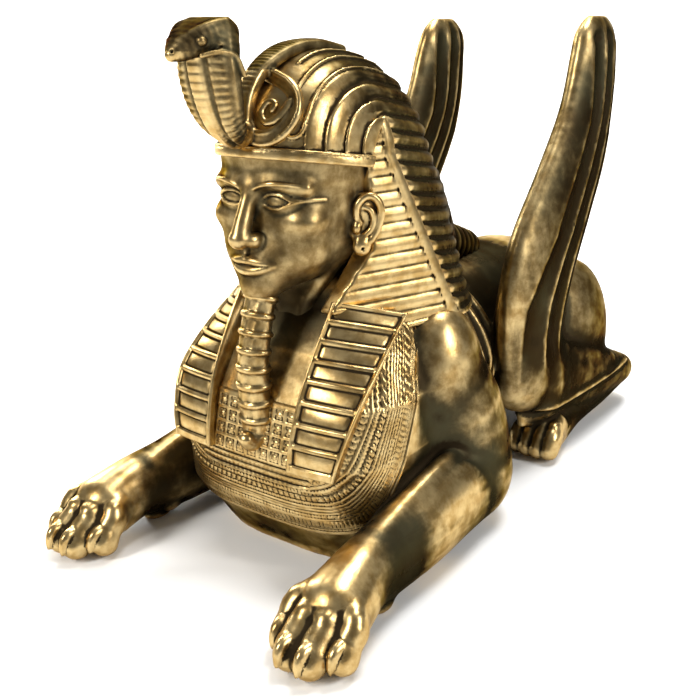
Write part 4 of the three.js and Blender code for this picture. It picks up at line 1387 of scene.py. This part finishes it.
beard_rows = [(0, 124, 254, 15, 13)]
for k in range(8):
    bow = 7 * math.sin(k / 7 * math.pi) + k
    beard_rows.append((0, 119 - bow, 240 - k * 14.6, 14.6 + 0.25 * k, 12.4 + 0.2 * k))
beard.limb(beard_rows, 2, up=(0, 1, 0), relief=plait)
# the end curls forward
BEARD_END = [(0, 112, 140, 15, 12), (0, 110, 129, 14, 11), (0, 101, 123, 11, 9), (0, 94, 127, 8, 6.5)]
beard.limb(BEARD_END, 3, up=(0, 1, 0))
points, faces = surface(beard)
make_piece("beard", points, faces, bright(0.7))

# %% [markdown]
# ## Metal
#
# Antique bronze is a warm yellow metal under a thin brown and olive skin. The metal shows where hands
# and polishing rub, and the skin is thickest in the hollows. A painted texture could hold that, but it
# would need an unwrapped surface and pixels. Here one material mixes three looks by the patina data:
# rubbed metal, brown skin, and the dark of deep chasing. The broad hollows between the limbs are also
# pushed towards the brown skin, as painted shade. Two noises break the mix up, because no
# finisher rubs evenly, and fine bumps give the faint unevenness of a cast face.

# %% short names for shader nodes
class Recipe:
    """A material's node tree. A number or colour goes onto a socket, an output is linked to it."""

    def __init__(self, name):
        """A new material with its shader, and the place of each point on the object."""
        self.material = bpy.data.materials.new(name)
        self.material.use_nodes = True
        self.nodes = self.material.node_tree.nodes
        self.links = self.material.node_tree.links
        self.shader = self.nodes["Principled BSDF"]
        self.place = self.nodes.new("ShaderNodeTexCoord").outputs["Object"]

    def feed(self, socket, value):
        """Set a socket to a number or a colour, or link an output to it."""
        if isinstance(value, tuple):
            socket.default_value = (*value, 1)
        elif isinstance(value, (int, float)):
            socket.default_value = value
        else:
            self.links.new(value, socket)

    def noise(self, scale, detail, rough=0.6):
        """Cloudy noise from 0 to 1, so many blots to a metre."""
        node = self.nodes.new("ShaderNodeTexNoise")
        self.feed(node.inputs["Scale"], scale)
        self.feed(node.inputs["Detail"], detail)
        self.feed(node.inputs["Roughness"], rough)
        self.feed(node.inputs["Vector"], self.place)
        return node.outputs["Fac"]

    def maths(self, kind, a, b):
        """One step of arithmetic."""
        node = self.nodes.new("ShaderNodeMath")
        node.operation = kind
        self.feed(node.inputs[0], a)
        self.feed(node.inputs[1], b)
        return node.outputs[0]

    def plus(self, a, b):
        return self.maths("ADD", a, b)

    def minus(self, a, b):
        return self.maths("SUBTRACT", a, b)

    def times(self, a, b):
        return self.maths("MULTIPLY", a, b)

    def fitted(self, value, low, high, to_low=0.0, to_high=1.0):
        """A value brought smoothly from one range to another, and held inside it."""
        node = self.nodes.new("ShaderNodeMapRange")
        node.interpolation_type = "SMOOTHSTEP"
        for socket, number in zip(node.inputs, (value, low, high, to_low, to_high)):
            self.feed(socket, number)
        return node.outputs[0]

    def mixed(self, factor, a, b):
        """One colour at factor 0, the other at factor 1."""
        node = self.nodes.new("ShaderNodeMix")
        node.data_type = "RGBA"
        for index, value in ((0, factor), (6, a), (7, b)):
            self.feed(node.inputs[index], value)
        return node.outputs[2]


# %% bronze
BROWN, OLIVE = (0.036, 0.025, 0.012), (0.050, 0.044, 0.024)  # the patina
RED_GOLD, PALE_GOLD = (0.42, 0.27, 0.095), (0.60, 0.44, 0.20)  # the rubbed metal
CHASED = (0.036, 0.025, 0.013)  # the bottom of the chasing
DULL_EDGE, BRIGHT_EDGE = (0.22, 0.18, 0.12), (0.9, 0.78, 0.6)  # reflections seen at a slant


def bronze():
    """Brown patina, rubbed metal and dark chasing, mixed by the data on the vertices, with painted shade in
    the broad hollows.
    """
    m = Recipe("antique_bronze")
    patina = m.nodes.new("ShaderNodeVertexColor")
    patina.layer_name = "patina"
    split = m.nodes.new("ShaderNodeSeparateColor")
    m.feed(split.inputs["Color"], patina.outputs["Color"])
    worn, hollow, tone = split.outputs[0], split.outputs[1], split.outputs[2]
    cloudy, speckle, grain = m.noise(9, 5), m.noise(70, 6), m.noise(420, 3, 0.5)
    # how far the metal shows through: less in the broad hollows as painted shade, and more by the tone,
    # which holds some painted shade and highlight
    rub = m.plus(m.times(m.minus(worn, hollow), 0.9), m.times(tone, 1.2))
    uneven = m.plus(m.times(tone, 0.3), 0.06)
    rub = m.plus(rub, m.times(m.minus(cloudy, 0.5), uneven))
    rub = m.plus(rub, m.times(m.minus(speckle, 0.5), 0.6))
    metal = m.maths("POWER", m.fitted(rub, 0.02, 1.1), 1.5)
    # colours
    brown = m.mixed(m.fitted(cloudy, 0.38, 0.62), BROWN, OLIVE)
    gold = m.mixed(m.fitted(speckle, 0.35, 0.65), RED_GOLD, PALE_GOLD)
    deep = m.fitted(m.minus(worn, m.times(speckle, 0.16)), 0.32, 0.02)
    skin = m.mixed(deep, m.mixed(metal, brown, gold), CHASED)
    m.feed(m.shader.inputs["Base Color"], skin)
    m.feed(m.shader.inputs["Metallic"], 1.0)
    m.feed(m.shader.inputs["Specular Tint"], m.mixed(metal, DULL_EDGE, BRIGHT_EDGE))
    # the patina is duller than the metal, and the chasing is dullest
    rough = m.plus(m.fitted(metal, 0, 1, 0.42, 0.25), m.times(speckle, 0.12))
    m.feed(m.shader.inputs["Roughness"], m.plus(rough, m.times(deep, 0.3)))
    # the faint unevenness of a cast face
    bump = m.nodes.new("ShaderNodeBump")
    m.feed(bump.inputs["Strength"], 0.35)
    m.feed(bump.inputs["Distance"], 0.0006)
    m.feed(bump.inputs["Height"], m.plus(m.times(speckle, 0.8), m.times(grain, 0.35)))
    m.feed(m.shader.inputs["Normal"], bump.outputs["Normal"])
    return m.material


antique_bronze = bronze()
pieces = [obj for obj in bpy.data.objects if obj.name.startswith("sphinx_")]
for piece in pieces:
    piece.data.materials.clear()
    piece.data.materials.append(antique_bronze)
print(len(pieces), "meshes in", antique_bronze.name)

# %% [markdown]
# ## Studio
#
# The statue stands on a plain pale floor that curves up behind it, as in a product studio. Polished
# metal shows what it mirrors more than what lights it, so the lamps are large soft boxes, and the dark
# gaps between them draw its forms. A lamp of its own brightens the paper behind the statue, so that
# the ground goes to white without more light on the metal.

# %% floor
FLOOR_TURN = math.radians(36.3)  # square to the camera
FLOOR_DROP = 0.0002  # a hair below the feet, so that the two never flicker


def floor():
    """A sheet of paper that lies level and bends up behind the statue."""
    width, front, back, bend = 6.0, -4.0, 3.0, 1.5
    profile = [(front, 0.0), (0, 0.0), (back, 0.0)]
    for a in np.linspace(0.1, math.pi / 2, 14):
        profile.append((back + bend * math.sin(a), bend * (1 - math.cos(a))))
    profile.append((back + bend, bend + 3.0))
    c, s = math.cos(FLOOR_TURN), math.sin(FLOOR_TURN)
    points, faces = [], []
    for y, z in profile:
        for x in (-width, width):
            points.append((x * c - y * s, x * s + y * c, z - FLOOR_DROP))
    for i in range(len(profile) - 1):
        faces.append((2 * i, 2 * i + 1, 2 * i + 3, 2 * i + 2))
    mesh = bpy.data.meshes.new("studio_floor")
    mesh.from_pydata(points, [], faces)
    mesh.polygons.foreach_set("use_smooth", [True] * len(faces))
    obj = bpy.data.objects.new("studio_floor", mesh)
    bpy.context.collection.objects.link(obj)
    paper = bpy.data.materials.new("studio_paper")
    paper.use_nodes = True
    shader = paper.node_tree.nodes["Principled BSDF"]
    shader.inputs["Base Color"].default_value = (0.90, 0.90, 0.89, 1)
    shader.inputs["Roughness"].default_value = 0.9
    mesh.materials.append(paper)


floor()
print("floor and backdrop made")

# %% lamps
def lamp(name, place, aim, size, power, colour=(1, 1, 1)):
    """A soft box at a place, turned to what it lights. Size in metres, power in watts."""
    light = bpy.data.lights.new(name, "AREA")
    light.shape = "RECTANGLE"
    light.size, light.size_y = size
    light.energy = power
    light.color = colour
    obj = bpy.data.objects.new(name, light)
    obj.location = place
    direction = np.array(aim) - np.array(place)
    obj.rotation_euler = mathutils.Vector(direction).to_track_quat("-Z", "Y").to_euler()
    bpy.context.collection.objects.link(obj)


lamp("key", (-0.7, -2.4, 1.9), (0, -0.1, 0.25), (0.55, 1.3), 62, (1, 0.97, 0.92))
lamp("side", (2.2, 0.1, 1.3), (0, 0, 0.2), (0.3, 1.3), 34, (1, 0.98, 0.95))
lamp("top", (0.3, 0.5, 2.4), (0, 0.1, 0.2), (0.8, 0.8), 46)
lamp("left", (-2.2, 0.3, 1.0), (0, 0, 0.2), (0.3, 1.2), 26)
lamp("backdrop", (-1.0, 1.4, 3.2), (-2.6, 3.6, 0.4), (3.5, 1.0), 330)
world = bpy.data.worlds.new("studio")
world.use_nodes = True
world.node_tree.nodes["Background"].inputs["Color"].default_value = (0.9, 0.93, 1.0, 1)
world.node_tree.nodes["Background"].inputs["Strength"].default_value = 0.17
bpy.context.scene.world = world
bpy.context.scene.view_settings.view_transform = "Standard"
print("lamps:", sorted(light.name for light in bpy.data.lights))

# %% [markdown]
# ## Camera
#
# The camera stands where the photographer's must have stood: low in front of the statue's left side,
# near enough that the paws look large against the wings. Its place was found by matching a few corners
# of the solid to the picture, and its lens by how fast the figure shrinks towards the back.

# %% camera
SENSOR, LENS = 36.0, 48.2  # millimetres
CAMERA_PLACE = (0.5326, -0.8286, 0.4718)
camera_data = bpy.data.cameras.new("camera")
camera_data.sensor_width = SENSOR
camera_data.lens = LENS
camera_data.clip_end = 50
camera = bpy.data.objects.new("camera", camera_data)
bpy.context.collection.objects.link(camera)
camera.location = CAMERA_PLACE
azimuth, elevation, roll = math.radians(36.34), math.radians(19.04), math.radians(0.7)
camera.rotation_euler = mathutils.Euler((math.pi / 2 - elevation, 0, azimuth), "XYZ")
camera.rotation_euler.rotate_axis("Z", -roll)
bpy.context.scene.camera = camera
print("camera", round(math.dist(CAMERA_PLACE, (0, 0, 0.2)), 2), "m from the middle of the statue")
